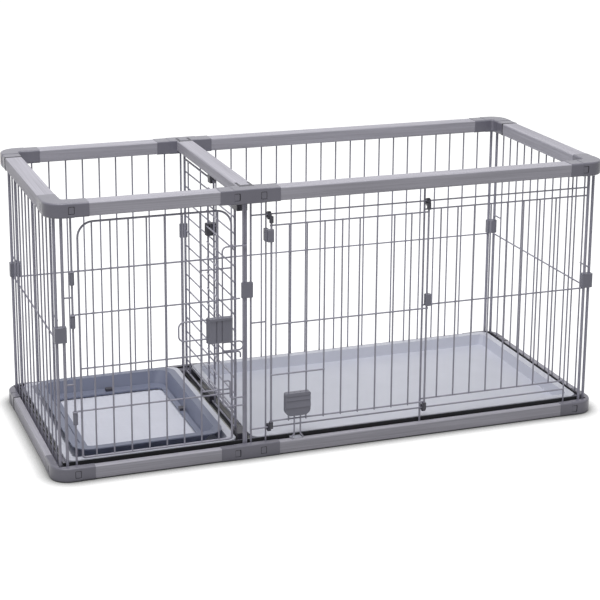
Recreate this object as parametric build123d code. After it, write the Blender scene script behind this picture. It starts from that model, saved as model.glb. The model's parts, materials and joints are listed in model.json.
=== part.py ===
"""Two-room indoor wire dog pen: an open-top cage of wire panels between two rectangular rail rings.

Millimetres, +Z up, +X along the length, the doors on the -Y side.
The origin is at the centre of the footprint, on the floor.
"""

import os

from build123d import *

# ------------------------------------------------------------------ overall size
LENGTH = 1250.0  # outside of the corner connectors, along X
DEPTH = 535.0  # outside of the corner connectors, along Y
HEIGHT = 590.0  # floor to the top of the upper ring
TEE_X = -201.5  # the line that parts the two rooms

# ------------------------------------------------------------------ rails
RAIL_WIDTH = 37.0
RAIL_HEIGHT = 28.0
RAIL_EDGE = 2.5  # rounding of the long outer edges
RAIL_OUTER_WALL = 14.0  # solid bar outside the wire groove
GROOVE_WIDTH = 9.0
GROOVE_DEPTH = 20.0
LIP_WIDTH = 5.0  # bar on the inner side of the groove in the lower ring
LEDGE_HEIGHT = 6.0  # low flange on the inner side of the lower ring

# ------------------------------------------------------------------ connectors
CONNECTOR_PROUD = 1.5  # how far a connector stands outside its rails
SLEEVE_STEP = 0.5  # the sleeve at a connector's end is this much slimmer
SLEEVE_LENGTH = 30.0
SOCKET_DEPTH = 22.0  # how far a rail runs into a connector
CORNER_LEG = 88.0
CORNER_RADIUS = 40.0
CORNER_INNER_RADIUS = 6.0
CORNER_EDGE = 4.0  # rounding of its long outer edges
TEE_LENGTH = 129.0
WINDOW_WIDTH = 13.0
WINDOW_HEIGHT = 16.0
WINDOW_DEPTH = 3.0
WINDOW_EDGE = 2.0
WINDOW_GAP = 1.2  # gap round the snap peg in its window
WINDOW_FROM_SLEEVE = 6.0  # from the sleeve seam to the window's centre line
PEG_RECESS = 0.6  # the peg's face lies this far behind the connector's face
PEG_EDGE = 1.5
PEG_SHIFT = 0.9  # pegs at the right ends of the front rails sit this far to the left
SLOT_WIDTH = 4.0  # slot in the end face of a corner, for a screwdriver
SLOT_HEIGHT = 15.0
SLOT_FROM_CORNER = 49.0

# ------------------------------------------------------------------ cross rail over the divider
CROSS_RAIL_WIDTH = 36.0
CROSS_RAIL_HEIGHT = 25.0
CROSS_RAIL_EDGE = 4.0
CROSS_LATCH_WIDTH = 30.0
CROSS_LATCH_BAR = 12.0  # bar of the U-shaped latch, along Y
CROSS_LATCH_ARM = 24.0  # its two arms, along Y
CROSS_LATCH_ARM_WIDTH = 4.0
CROSS_LATCH_DEPTH = 6.0
CROSS_LATCH_GAP = 0.8
CROSS_LATCH_RECESS = 0.4

# ------------------------------------------------------------------ wire
MESH_WIRE = 3.5
BORDER_WIRE = 4.5
END_POST = 6.5
STRIKER_WIDTH = 9.5
STRIKER_DEPTH = 4.5
STRIKER_GROOVE_WIDTH = 2.0
STRIKER_GROOVE_DEPTH = 1.0
WELD = 0.8  # axes of two welded wires lie this share of the sum of their radii apart
WELD_OVERSHOOT = 3.0  # how far a welded wire runs past the axis of the wire it ends on

# ------------------------------------------------------------------ clearances and small edges
RUNNING_FIT = 0.1  # radial, a pin or a wire turning or sliding in its eye
SEAT_GAP = 0.3  # a piece resting on or beside another one
SMALL_EDGE = 1.5  # rounding of small moulded pieces
SOFT_EDGE = 2.0  # rounding of brackets and eyelet feet
OVERCUT = 1.0  # how far a cut runs past the face that it opens
TINY = 0.01  # two points nearer than this are one

# ------------------------------------------------------------------ fixed panels
END_POST_INSET = 34.0  # end post of a long panel, from the pen's end
SIDE_POST_INSET = 24.5  # end post of a short panel, from the pen's side
MID_WIRE_Z = 295.0
SIDE_BAYS = 13
BACK_LEFT_BAYS = 10
BACK_RIGHT_BAYS = 21
LEFT_TEE_POST = 4.5  # last upright of the left back panel, from the tee's line
RIGHT_TEE_POST = 5.5  # first upright of the right panels, from the tee's line
STRIKER_OFFSET = 8.0  # striker post, to the left of the tee's line
SIDE_LINK_RISE = 14.0  # short link above the corner clip

# ------------------------------------------------------------------ doorway of the sliding door
DOORWAY_FROM_TEE = 38.5
DOORWAY_WIDTH = 358.0
WINDOW_PANEL_BAYS = 10
TRACK_LOW_Z = 60.0
TRACK_DROP = 60.0  # upper track wire, below the pen's top
WINDOW_LOW_Z = 78.0
WINDOW_DROP = 80.0  # top wire of the window panel, below the pen's top

# ------------------------------------------------------------------ sliding door
SLIDER_OUTSET = 12.5  # door plane, outward from the wall plane
SLIDER_INSET = 8.0  # door's left edge, inside the doorway
SLIDER_OVERLAP = 5.0  # door's right edge, past the doorway
SLIDER_ABOVE_TRACK = 15.5
SLIDER_BELOW_TRACK = 23.0
SLIDER_BAYS = 9
SLIDER_MID_Z = 293.0
SLIDER_STOP_Z = 181.0
SLIDER_STOP_LENGTH = 120.0
EYELET_DIAMETER = 17.5
EYELET_HOLE = 9.5
EYELET_THICKNESS = 6.0
EYELET_OUTSET = 2.0  # eyelet's middle, outward from the door's edge wire
EYELET_FOOT_LENGTH = 14.0
EYELET_FOOT_WIDTH = 8.0
EYELET_FOOT_DEPTH = 8.5
FOOT_GRIP = 6.0  # how far an edge wire runs into its eyelet's foot
GRIP_WIDTH = 14.0
GRIP_DEPTH = 11.0
GRIP_HEIGHT = 26.0
GRIP_OFFSET = 2.0  # grip's middle, outward from the door's edge wire
GRIP_SLOT = 7.0
GRIP_EDGE = 3.0
LEFT_GRIP_DROP = 21.0  # left grip's middle, below the door's top wire
RIGHT_GRIP_RISE = 18.0  # right grip's middle, above the door's middle wire
CATCH_WALL = 2.5  # lobe of the left grip that snaps round the doorway's upright
CATCH_GAP = 0.4

# ------------------------------------------------------------------ lock of the sliding door
LOCK_WIDTH = 57.0
LOCK_HEIGHT = 52.0
LOCK_DEPTH = 13.0
LOCK_RISE = 8.0  # block's underside, above the door's bottom wire
LOCK_CORNER = 14.0
LOCK_TOP_CORNER = 4.0
LOCK_LIP = 7.0
LOCK_STEP = 1.6  # how far each finger step stands back
LOCK_STEP_DROPS = (17.0, 33.0)  # finger steps, below the block's top
LOCK_HOLE = 3.0
LOCK_HOLE_DEPTH = 4.0
LOCK_UPRIGHT = 1  # the block rides on this upright of the door and the next one
PRONG_SPACING = 14.0
PRONG_FLARE = 7.0
PRONG_FLARE_HEIGHT = 9.0
PRONG_IN_BLOCK = 26.0
KEEPER_WIDTH = 24.0  # keeper in the lower rail between the prongs' feet
KEEPER_START = 8.0  # its front, behind the rail's outer face
KEEPER_PROUD = 1.0

# ------------------------------------------------------------------ swing door of the left room
HINGE_FROM_POST = 19.0  # hinge wire, from the end post
DOOR_FROM_HINGE = 13.5
DOOR_STRIKER_GAP = 28.5  # door's free edge, from the striker post
DOOR_LOW_Z = 44.0
DOOR_DROP = 45.0  # door's top wire, below the pen's top
DOOR_TOP_RADIUS = 32.0
DOOR_LOW_RADIUS = 6.0
DOOR_UPRIGHTS = 8
DOOR_EDGE_BAY = 29.0  # first and last upright, from the door's edges
EYE_HEIGHTS = (443.0, 352.0, 145.0)  # cross wires that end in eyes on the hinge wire
FINGER_EYE = 1  # the one of them that runs on as a stop finger
DOOR_REST_Z = 236.0  # cross wire with no eye
FINGER_REACH = 20.0  # stop fingers, past the door's free edge
FINGER_DROP = 14.0
STILE_LINKS = (390.0, 205.0)
SLEEVE_DIAMETER = 10.0
SLEEVE_HEIGHT = 25.0
SLEEVE_CHAMFER = 1.0

# ------------------------------------------------------------------ latch of the swing door
RUNNER_LOW_Z = 272.5
RUNNER_HIGH_Z = 314.0
RUNNER_LENGTH = 115.0
RUNNER_RADIUS = 12.0
BOLT_INSET = 21.5  # bolt's upright, from the door's free edge
BOLT_DROP = 76.5  # bolt's upper prong, below the door's top wire
BOLT_LOW_Z = 119.0
BOLT_OVER_STRIKER = 3.5
BOLT_BEFORE_STRIKER = 5.5
BOLT_RADIUS = 10.0
SPUR_INSET = 5.5
SPUR_HIGH_Z = 177.0
SPUR_LOW_Z = 137.0
SPUR_RADIUS = 6.0
LOOP_HIGH_Z = 262.0
LOOP_LOW_Z = 243.0
LOOP_RADIUS = 9.0
GUIDE_EYE_WIRE = 3.0
BRACE_LENGTH = 68.0
BRACE_HIGH_Z = 420.0
BRACE_LOW_Z = 155.0
LATCH_INSET = 2.0
LATCH_WIDTH = 49.0
LATCH_LOW_Z = 264.0
LATCH_HIGH_Z = 318.0
LATCH_DEPTH = 14.0
LATCH_FLANK = 6.0  # how far the back stands out to the left of the face
LATCH_LIP_HEIGHT = 5.0
LATCH_BAND_RECESS = 1.5  # the ribbed face stands this far behind the lip
LATCH_GROOVES = (14.0, 26.0)  # grooves that part the face's bands, from its left edge
LATCH_GROOVE_WIDTH = 2.5
LATCH_GROOVE_DEPTH = 2.0

# ------------------------------------------------------------------ clips on the posts
CLIP_WALL = 2.2
CLIP_HEIGHT = 32.0
CLIP_ABOVE_MID_WIRE = 2.0
CLIP_EDGE = 2.5
TEE_CLIP_Z = 353.0
TEE_CLIP_HEIGHT = 33.0

# ------------------------------------------------------------------ divider
DIVIDER_BACK_INSET = 35.5  # rear post, from the pen's back
DIVIDER_INNER_BAY = 32.0  # second upright, from the rear post
DIVIDER_MID_Y = -2.0
DIVIDER_LOW_Z = 28.0
DIVIDER_DROP = 44.0  # top wire, below the pen's top
DIVIDER_BEND = 6.0
ROWS = 14
ROW_LOW_Z = 53.0
ROW_DROP = 75.5  # top row, below the pen's top
LEAF_OUTSET = 11.0  # leaf plane, to the left of the divider plane
LEAF_OVERLAP = 8.0  # leaf's rear edge, past the divider's middle upright
LEAF_PIVOT_INSET = 76.5  # pivot post, from the pen's front
LEAF_LOW_Z = 75.0
LEAF_DROP = 60.0  # leaf's top wire, below the pen's top
LEAF_OVERSHOOT = 5.0
PIVOT_POST = 5.5
PIVOT_DEPTH = 10.0  # how far the pivot post runs into a bracket
BRACKET_WALL = 4.0
BRACKET_LOW_Z = 20.0
BRACKET_HEIGHT = 24.0
BRACKET_TOP_HEIGHT = 30.0
BRACKET_RIGHT_REACH = 5.5
MID_BRACKET_Y = 35.0
MID_BRACKET_LENGTH = 38.0
HANGER_Y = 12.0
HANGER_LENGTH = 20.0
HANGER_WIDTH = 14.0
HANGER_BELOW = 6.0
SNAP_ROW = 11  # the clip sits on this row wire
SNAP_BELOW_ROW = 22.0  # clip's underside, below that wire
SNAP_HEIGHT = 27.0
SNAP_WALL = 2.5
SNAP_REACH = 18.5  # back of the clip, from the divider's middle upright
SNAP_SLOT_GAP = 0.5
SNAP_HOLE_WIDTH = 4.0
SNAP_HOLE_HEIGHT = 15.0
SNAP_HOLE_EDGE = 1.9

# ------------------------------------------------------------------ trays
TRAY_SIDE_INSET = 26.0  # turned edge, from the pen's side
TRAY_END_INSET = 34.0  # turned edge, from the pen's end
LEFT_TRAY_TEE_GAP = 21.5  # left tray's turned edge, from the tee's line
RIGHT_TRAY_TEE_GAP = 11.5
TRAY_RIM_WIDTH = 15.0
TRAY_EDGE_HEIGHT = 5.7
TRAY_FLOOR_Z = 9.5
TRAY_WALL = 2.0
TRAY_SLOPE = 5.0
TRAY_EDGE = 2.5
TRAY_CORNER = 12.0

# ------------------------------------------------------------------ toilet tray in the left room
TOILET_END_GAP = 21.0  # from the left tray's ends
TOILET_SIDE_GAP = 23.5  # from the left tray's sides
TOILET_SHIFT = 2.0  # to the right of the left tray's middle
TOILET_HIGH_Z = 48.0
TOILET_SLOPE = 16.0
TOILET_WALL = 2.5
TOILET_CORNER = 30.0
TOILET_RIM = 14.0
PAD_END_GAP = 3.5  # from the ends of the toilet tray's floor
PAD_SIDE_GAP = 10.5  # from the sides of the toilet tray's floor
PAD_HEIGHT = 4.0
PAD_CORNER = 24.0
PAD_EDGE = 1.5
RETAINER_OVER_ENDS = 7.0  # how far the retainer lies over the pad
RETAINER_OVER_SIDES = 19.0
RETAINER_HEIGHT = 4.0
RETAINER_CORNER = 12.0
RETAINER_LATCH_WIDTH = 16.0
RETAINER_LATCH_LENGTH = 13.0
RETAINER_LATCH_HEIGHT = 6.0

# ------------------------------------------------------------------ worked out from the sizes above
connector_width = RAIL_WIDTH + 2 * CONNECTOR_PROUD
connector_height = RAIL_HEIGHT + 2 * CONNECTOR_PROUD
upper_z = HEIGHT - connector_height
wall_inset = CONNECTOR_PROUD + RAIL_OUTER_WALL + GROOVE_WIDTH / 2
wall_y = DEPTH / 2 - wall_inset
wall_x = LENGTH / 2 - wall_inset
front_y = -wall_y
inner_y = DEPTH / 2 - connector_width
foot_z = CONNECTOR_PROUD + RAIL_HEIGHT - GROOVE_DEPTH + SEAT_GAP
head_z = HEIGHT - foot_z
border_low_z = foot_z + BORDER_WIRE / 2
border_high_z = head_z - BORDER_WIRE / 2
mesh_weld = WELD * MESH_WIRE
track_weld = WELD * (BORDER_WIRE + MESH_WIRE) / 2

window_from_corner = CORNER_LEG - SLEEVE_LENGTH - WINDOW_FROM_SLEEVE
window_from_tee = TEE_LENGTH / 2 - SLEEVE_LENGTH - WINDOW_FROM_SLEEVE

end_post_x = LENGTH / 2 - END_POST_INSET
side_post_y = DEPTH / 2 - SIDE_POST_INSET
left_tee_post_x = TEE_X - LEFT_TEE_POST
right_tee_post_x = TEE_X + RIGHT_TEE_POST
striker_x = TEE_X - STRIKER_OFFSET
clip_z = MID_WIRE_Z + CLIP_ABOVE_MID_WIRE

doorway_left_x = TEE_X + DOORWAY_FROM_TEE
doorway_right_x = doorway_left_x + DOORWAY_WIDTH
window_pitch = (end_post_x - doorway_right_x) / WINDOW_PANEL_BAYS
last_upright_x = end_post_x - window_pitch
track_high_z = HEIGHT - TRACK_DROP
window_high_z = HEIGHT - WINDOW_DROP
track_y = front_y - track_weld

slider_y = front_y - SLIDER_OUTSET
slider_left_x = doorway_left_x + SLIDER_INSET
slider_right_x = doorway_right_x + SLIDER_OVERLAP
slider_low_z = TRACK_LOW_Z + SLIDER_ABOVE_TRACK
slider_high_z = track_high_z - SLIDER_BELOW_TRACK
slider_pitch = (slider_right_x - slider_left_x) / SLIDER_BAYS
eyelet_drop = EYELET_HOLE / 2 - MESH_WIRE / 2 - SEAT_GAP
low_eyelet_z = TRACK_LOW_Z
high_eyelet_z = track_high_z - eyelet_drop
lock_x = slider_left_x + (LOCK_UPRIGHT + 0.5) * slider_pitch
lock_low_z = slider_low_z + LOCK_RISE
lock_high_z = lock_low_z + LOCK_HEIGHT
prong_y = slider_y + mesh_weld - MESH_WIRE - SEAT_GAP
prong_foot_z = CONNECTOR_PROUD + RAIL_HEIGHT + SEAT_GAP + MESH_WIRE / 2

hinge_x = HINGE_FROM_POST - end_post_x
door_left_x = hinge_x + DOOR_FROM_HINGE
door_right_x = striker_x - DOOR_STRIKER_GAP
door_high_z = HEIGHT - DOOR_DROP
finger_x = door_right_x + FINGER_REACH
door_pitch = (door_right_x - door_left_x - 2 * DOOR_EDGE_BAY) / (DOOR_UPRIGHTS - 1)
eye_radius = BORDER_WIRE / 2 + RUNNING_FIT + MESH_WIRE / 2
bolt_x = door_right_x - BOLT_INSET
bolt_high_z = door_high_z - BOLT_DROP
bolt_out = mesh_weld + MESH_WIRE + SEAT_GAP  # bolt plane, outward from the wall plane
bolt_reach_x = striker_x - BOLT_BEFORE_STRIKER
guide_radius = MESH_WIRE / 2 + RUNNING_FIT + GUIDE_EYE_WIRE / 2
latch_right_x = door_right_x - LATCH_INSET
latch_left_x = latch_right_x - LATCH_WIDTH

cross_rail_z = HEIGHT - CROSS_RAIL_HEIGHT
cross_rail_y = inner_y - SEAT_GAP

divider_x = TEE_X
divider_back_y = DEPTH / 2 - DIVIDER_BACK_INSET
divider_high_z = HEIGHT - DIVIDER_DROP
leaf_x = divider_x - LEAF_OUTSET
leaf_rear_y = DIVIDER_MID_Y + LEAF_OVERLAP
leaf_pivot_y = LEAF_PIVOT_INSET - DEPTH / 2
leaf_high_z = HEIGHT - LEAF_DROP
row_pitch = (HEIGHT - ROW_DROP - ROW_LOW_Z) / (ROWS - 1)
row_heights = [ROW_LOW_Z + i * row_pitch for i in range(ROWS)]
snap_z = row_heights[SNAP_ROW] - SNAP_BELOW_ROW
bracket_top_z = BRACKET_LOW_Z + BRACKET_HEIGHT
high_bracket_z = cross_rail_z - BRACKET_TOP_HEIGHT

tray_rim_y = DEPTH / 2 - TRAY_SIDE_INSET
tray_end_x = LENGTH / 2 - TRAY_END_INSET
tray_edge_z = connector_height + SEAT_GAP
tray_rim_z = tray_edge_z + TRAY_EDGE_HEIGHT
left_tray_x1 = TEE_X - LEFT_TRAY_TEE_GAP
right_tray_x0 = TEE_X + RIGHT_TRAY_TEE_GAP

toilet_x = (left_tray_x1 - tray_end_x) / 2 + TOILET_SHIFT
toilet_length = left_tray_x1 + tray_end_x - 2 * TOILET_END_GAP
toilet_depth = 2 * (tray_rim_y - TOILET_SIDE_GAP)
toilet_floor_z = TRAY_FLOOR_Z + TRAY_WALL + SEAT_GAP
toilet_inset = TOILET_RIM + TOILET_SLOPE + TOILET_WALL
pad_length = toilet_length - 2 * (toilet_inset + PAD_END_GAP)
pad_depth = toilet_depth - 2 * (toilet_inset + PAD_SIDE_GAP)
pad_z = toilet_floor_z + TOILET_WALL + SEAT_GAP
retainer_z = pad_z + PAD_HEIGHT + SEAT_GAP
opening_length = pad_length - 2 * RETAINER_OVER_ENDS
opening_depth = pad_depth - 2 * RETAINER_OVER_SIDES


# ------------------------------------------------------------------ helpers
def block(x0, x1, y0, y1, z0, z1):
    """A box between two corners."""
    return Pos((x0 + x1) / 2, (y0 + y1) / 2, (z0 + z1) / 2) * Box(x1 - x0, y1 - y0, z1 - z0)


def rounded_bar(x0, x1, y0, y1, z0, z1, radius, axis=Axis.Z):
    """A box with the edges along one axis rounded."""
    body = block(x0, x1, y0, y1, z0, z1)
    return fillet(body.edges().filter_by(axis), radius)


def rod(start, end, diameter):
    """A straight round wire."""
    line = Vector(*end) - Vector(*start)
    return Solid.make_cylinder(diameter / 2, line.length, Plane(origin=start, z_dir=line))


def bent_wire(points, diameter, radius, close=False):
    """A round wire bent at each of its points."""
    path = FilletPolyline(*points, radius=radius, close=close)
    section = Plane(origin=path @ 0, z_dir=path % 0) * Circle(diameter / 2)
    return sweep(section, path=path)


def upright(x, z0, z1, diameter=MESH_WIRE, y=0.0):
    """A wire along Z."""
    return rod((x, y, z0), (x, y, z1), diameter)


def cross_wire(x0, x1, z, diameter=MESH_WIRE, y=0.0):
    """A wire along X."""
    return rod((x0, y, z), (x1, y, z), diameter)


def depth_wire(x, y0, y1, z, diameter=MESH_WIRE):
    """A wire along Y."""
    return rod((x, y0, z), (x, y1, z), diameter)


def across(x, y, z, diameter, length):
    """A round cutter along X, centred on a point."""
    return Pos(x, y, z) * Rot(0, 90, 0) * Cylinder(diameter / 2, length)


def welded(*pieces):
    """One solid out of wires that cross or meet."""
    return Part() + list(pieces)


def group(*solids):
    """Separate solids in one node."""
    return Compound(children=list(solids))


def along_x(outline, x0, x1, rounded=(), radius=0.0):
    """A bar along X with a section given as points on the Y-Z plane, some of them rounded."""
    face = make_face(Polyline(*outline, close=True))
    points = [Vector(*point) for point in rounded]
    corners = [v for v in face.vertices() if any((Vector(v.X, v.Y) - p).length < TINY for p in points)]
    if corners:
        face = fillet(corners, radius)
    placed = Plane(origin=(x0, 0, 0), x_dir=(0, 1, 0), z_dir=(1, 0, 0)) * face
    return extrude(placed, amount=x1 - x0)


def plate(length, depth, corner_radius, thickness):
    """A flat plate with rounded corners, its underside on Z = 0."""
    return extrude(RectangleRounded(length, depth, corner_radius), amount=thickness)


def to_side(shape, turn, distance):
    """Moves a shape made for the front, outer face on Y = 0, to one side of the pen."""
    return Rot(0, 0, turn) * Pos(0, -distance, 0) * shape


# ------------------------------------------------------------------ rails
def rail(x0, x1, upper):
    """A rail with its outer face on Y = 0 and its groove facing the other ring."""
    inner = RAIL_WIDTH
    groove_in = RAIL_OUTER_WALL
    groove_out = groove_in + GROOVE_WIDTH
    top = RAIL_HEIGHT
    if upper:
        outline = [(0, 0), (groove_in, 0), (groove_in, GROOVE_DEPTH), (groove_out, GROOVE_DEPTH)]
        outline += [(groove_out, 0), (inner, 0), (inner, top), (0, top)]
        rounded = [(0, 0), (inner, 0), (inner, top), (0, top)]
    else:
        floor = RAIL_HEIGHT - GROOVE_DEPTH
        lip_end = groove_out + LIP_WIDTH
        outline = [(0, 0), (inner, 0), (inner, LEDGE_HEIGHT), (lip_end, LEDGE_HEIGHT)]
        outline += [(lip_end, top), (groove_out, top), (groove_out, floor)]
        outline += [(groove_in, floor), (groove_in, top), (0, top)]
        rounded = [(0, 0), (0, top)]
    bar = along_x(outline, x0, x1, rounded, RAIL_EDGE)
    return Pos(0, 0, (upper_z if upper else 0) + CONNECTOR_PROUD) * bar


def rail_spans():
    """Each rail's name, its ends along its own side, and the turn and distance of that side."""
    corner = CORNER_LEG - SOCKET_DEPTH
    tee = TEE_LENGTH / 2 - SOCKET_DEPTH
    half = LENGTH / 2 - corner
    side = DEPTH / 2 - corner
    near = DEPTH / 2 - CONNECTOR_PROUD
    far = LENGTH / 2 - CONNECTOR_PROUD
    return [
        ("front_left", -half, TEE_X - tee, 0, near),
        ("front_right", TEE_X + tee, half, 0, near),
        ("back_left", -TEE_X + tee, half, 180, near),
        ("back_right", -half, -TEE_X - tee, 180, near),
        ("left", -side, side, -90, far),
        ("right", -side, side, 90, far),
    ]


# ------------------------------------------------------------------ connectors
def corner_bar(leg, slimmer):
    """An L-shaped bar with its outer corner at the origin and its legs along +X and +Y."""
    low = slimmer
    wide = connector_width - slimmer
    long = leg + connector_width
    outline = [(low, low), (long, low), (long, wide), (wide, wide), (wide, long), (low, long)]
    face = make_face(Polyline(*outline, close=True))
    outer = face.vertices().sort_by(lambda v: v.X + v.Y)[0]
    face = fillet(outer, CORNER_RADIUS - slimmer)
    inner = face.vertices().sort_by(lambda v: (v.X - wide) ** 2 + (v.Y - wide) ** 2)[0]
    face = fillet(inner, CORNER_INNER_RADIUS)
    bar = Pos(0, 0, slimmer) * extrude(face, amount=connector_height - 2 * slimmer)
    faces = bar.faces().sort_by(Axis.Z)
    bar = fillet(faces[-1].edges() + faces[0].edges(), CORNER_EDGE)
    return bar & block(0, leg, 0, leg, 0, connector_height)


def window():
    """A snap window in the face on Y = 0, centred on X = 0."""
    middle = connector_height / 2
    half = WINDOW_WIDTH / 2
    tall = WINDOW_HEIGHT / 2
    return rounded_bar(
        -half, half, -OVERCUT, WINDOW_DEPTH, middle - tall, middle + tall, WINDOW_EDGE, Axis.Y
    )


def peg():
    """The snap peg that shows in a window."""
    middle = connector_height / 2
    half = WINDOW_WIDTH / 2 - WINDOW_GAP
    tall = WINDOW_HEIGHT / 2 - WINDOW_GAP
    return rounded_bar(
        -half, half, PEG_RECESS, WINDOW_DEPTH, middle - tall, middle + tall, PEG_EDGE, Axis.Y
    )


def groove_cut(x0, x1, upper):
    """The wire groove through a connector whose outer face lies on Y = 0."""
    start = wall_inset - GROOVE_WIDTH / 2
    end = start + GROOVE_WIDTH
    if upper:
        return block(x0, x1, start, end, -OVERCUT, CONNECTOR_PROUD + GROOVE_DEPTH)
    floor = connector_height - CONNECTOR_PROUD - GROOVE_DEPTH
    return block(x0, x1, start, end, floor, connector_height + OVERCUT)


def corner(upper):
    """The connector at the front left corner, its outer corner at the origin."""
    body = corner_bar(CORNER_LEG, SLEEVE_STEP) + corner_bar(CORNER_LEG - SLEEVE_LENGTH, 0)
    front_groove = groove_cut(wall_inset - GROOVE_WIDTH / 2, CORNER_LEG + OVERCUT, upper)
    side_groove = mirror(front_groove, Plane((0, 0, 0), z_dir=(1, -1, 0)))
    body = body - front_groove - side_groove
    body = body - Pos(window_from_corner, 0, 0) * window()
    middle = connector_height / 2
    tall = SLOT_HEIGHT / 2
    slot_end = SLOT_FROM_CORNER + SLOT_WIDTH
    return body - block(-OVERCUT, WINDOW_DEPTH, SLOT_FROM_CORNER, slot_end, middle - tall, middle + tall)


def tee(upper):
    """The straight connector between two rails, outer face on Y = 0."""
    half = TEE_LENGTH / 2
    core = half - SLEEVE_LENGTH
    step = SLEEVE_STEP
    wide = connector_width
    tall = connector_height
    sleeve = rounded_bar(-half, half, step, wide - step, step, tall - step, RAIL_EDGE, Axis.X)
    body = sleeve + rounded_bar(-core, core, 0, wide, 0, tall, RAIL_EDGE, Axis.X)
    body = body - groove_cut(-half - OVERCUT, half + OVERCUT, upper)
    for x in (-window_from_tee, window_from_tee):
        body = body - Pos(x, 0, 0) * window()
    return body


# ------------------------------------------------------------------ cross rail
def cross_latch(start_y, gap, top):
    """A U-shaped latch, its bar from start_y and its arms behind, grown by a gap all round."""
    half = CROSS_LATCH_WIDTH / 2
    tongue = half - CROSS_LATCH_ARM_WIDTH - gap
    low = HEIGHT - CROSS_LATCH_DEPTH
    end_y = start_y + CROSS_LATCH_BAR + CROSS_LATCH_ARM
    bar_end = start_y + CROSS_LATCH_BAR + gap
    body = block(TEE_X - half - gap, TEE_X + half + gap, start_y - gap, end_y + gap, low, top)
    return body - block(TEE_X - tongue, TEE_X + tongue, bar_end, end_y + gap + OVERCUT, low, top)


def cross_latch_starts():
    """Where the two latches start: across the front joint and across the back joint."""
    return -inner_y - CROSS_LATCH_BAR, inner_y - CROSS_LATCH_BAR


def latch_pockets():
    """The pockets of both latches in the cross rail and in the tees."""
    return [cross_latch(y, CROSS_LATCH_GAP, HEIGHT + OVERCUT) for y in cross_latch_starts()]


def cross_rail():
    """The rail that ties the front and the back of the upper ring over the divider."""
    half = CROSS_RAIL_WIDTH / 2
    bar = rounded_bar(
        TEE_X - half, TEE_X + half, -cross_rail_y, cross_rail_y, cross_rail_z, HEIGHT, CROSS_RAIL_EDGE, Axis.Y
    )
    return bar - latch_pockets()


def cross_latches():
    """The two spring latches that lock the cross rail to the upper ring."""
    top = HEIGHT - CROSS_LATCH_RECESS
    return group(*[cross_latch(y, 0, top) for y in cross_latch_starts()])


# ------------------------------------------------------------------ fixed panels
def panel(x0, x1, bays, start_post=END_POST, end_post=END_POST):
    """A welded panel in the plane Y = 0 with +Y towards the inside of the pen."""
    wires = [
        upright(x0, foot_z, head_z, start_post),
        upright(x1, foot_z, head_z, end_post),
        cross_wire(x0, x1, border_low_z, BORDER_WIRE),
        cross_wire(x0, x1, border_high_z, BORDER_WIRE),
        cross_wire(x0, x1, MID_WIRE_Z, MESH_WIRE, mesh_weld),
    ]
    pitch = (x1 - x0) / bays
    for i in range(1, bays):
        wires.append(upright(x0 + i * pitch, border_low_z, border_high_z))
    return wires


def side_panel(turn):
    """The wall at one end of the pen, with a short link above each corner clip."""
    wires = panel(-side_post_y, side_post_y, SIDE_BAYS)
    pitch = 2 * side_post_y / SIDE_BAYS
    link_z = clip_z + CLIP_HEIGHT + SIDE_LINK_RISE
    for side in (-1, 1):
        start = side * side_post_y
        wires.append(cross_wire(start, start - side * pitch, link_z, MESH_WIRE, mesh_weld))
    return to_side(welded(*wires), turn, wall_x)


def back_left_panel():
    """The back wall of the small room."""
    wires = panel(-left_tee_post_x, end_post_x, BACK_LEFT_BAYS, BORDER_WIRE, END_POST)
    return to_side(welded(*wires), 180, wall_y)


def back_right_panel():
    """The back wall of the large room."""
    wires = panel(-end_post_x, -right_tee_post_x, BACK_RIGHT_BAYS, END_POST, BORDER_WIRE)
    return to_side(welded(*wires), 180, wall_y)


def front_right_panel():
    """The fixed wall round the sliding door, with the two track wires on its outer face."""
    first = right_tee_post_x
    wires = [
        upright(first, foot_z, head_z, BORDER_WIRE),
        upright(doorway_left_x, border_low_z, border_high_z),
        upright(doorway_right_x, border_low_z, border_high_z, BORDER_WIRE),
        upright(last_upright_x, border_low_z, border_high_z),
        upright(end_post_x, foot_z, head_z, END_POST),
        cross_wire(first, end_post_x, border_low_z, BORDER_WIRE),
        cross_wire(first, end_post_x, border_high_z, BORDER_WIRE),
        cross_wire(first, end_post_x, track_high_z, MESH_WIRE, -track_weld),
        cross_wire(first, last_upright_x, TRACK_LOW_Z, MESH_WIRE, -track_weld),
        cross_wire(doorway_right_x, end_post_x, window_high_z, MESH_WIRE, mesh_weld),
        cross_wire(doorway_right_x, last_upright_x, WINDOW_LOW_Z, MESH_WIRE, mesh_weld),
        cross_wire(doorway_right_x, end_post_x, MID_WIRE_Z, MESH_WIRE, mesh_weld),
        cross_wire(first, doorway_left_x, MID_WIRE_Z, MESH_WIRE, mesh_weld),
    ]
    for i in range(1, WINDOW_PANEL_BAYS - 1):
        wires.append(upright(doorway_right_x + i * window_pitch, WINDOW_LOW_Z, window_high_z))
    return Pos(0, front_y, 0) * welded(*wires)


def hinge_stile():
    """End post and hinge wire of the swing door, tied by two links."""
    wires = [
        upright(-end_post_x, foot_z, head_z, END_POST),
        upright(hinge_x, foot_z, head_z, BORDER_WIRE),
        cross_wire(-end_post_x, hinge_x, border_low_z, BORDER_WIRE),
        cross_wire(-end_post_x, hinge_x, border_high_z, BORDER_WIRE),
    ]
    for z in STILE_LINKS:
        wires.append(cross_wire(-end_post_x, hinge_x, z))
    return Pos(0, front_y, 0) * welded(*wires)


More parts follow.
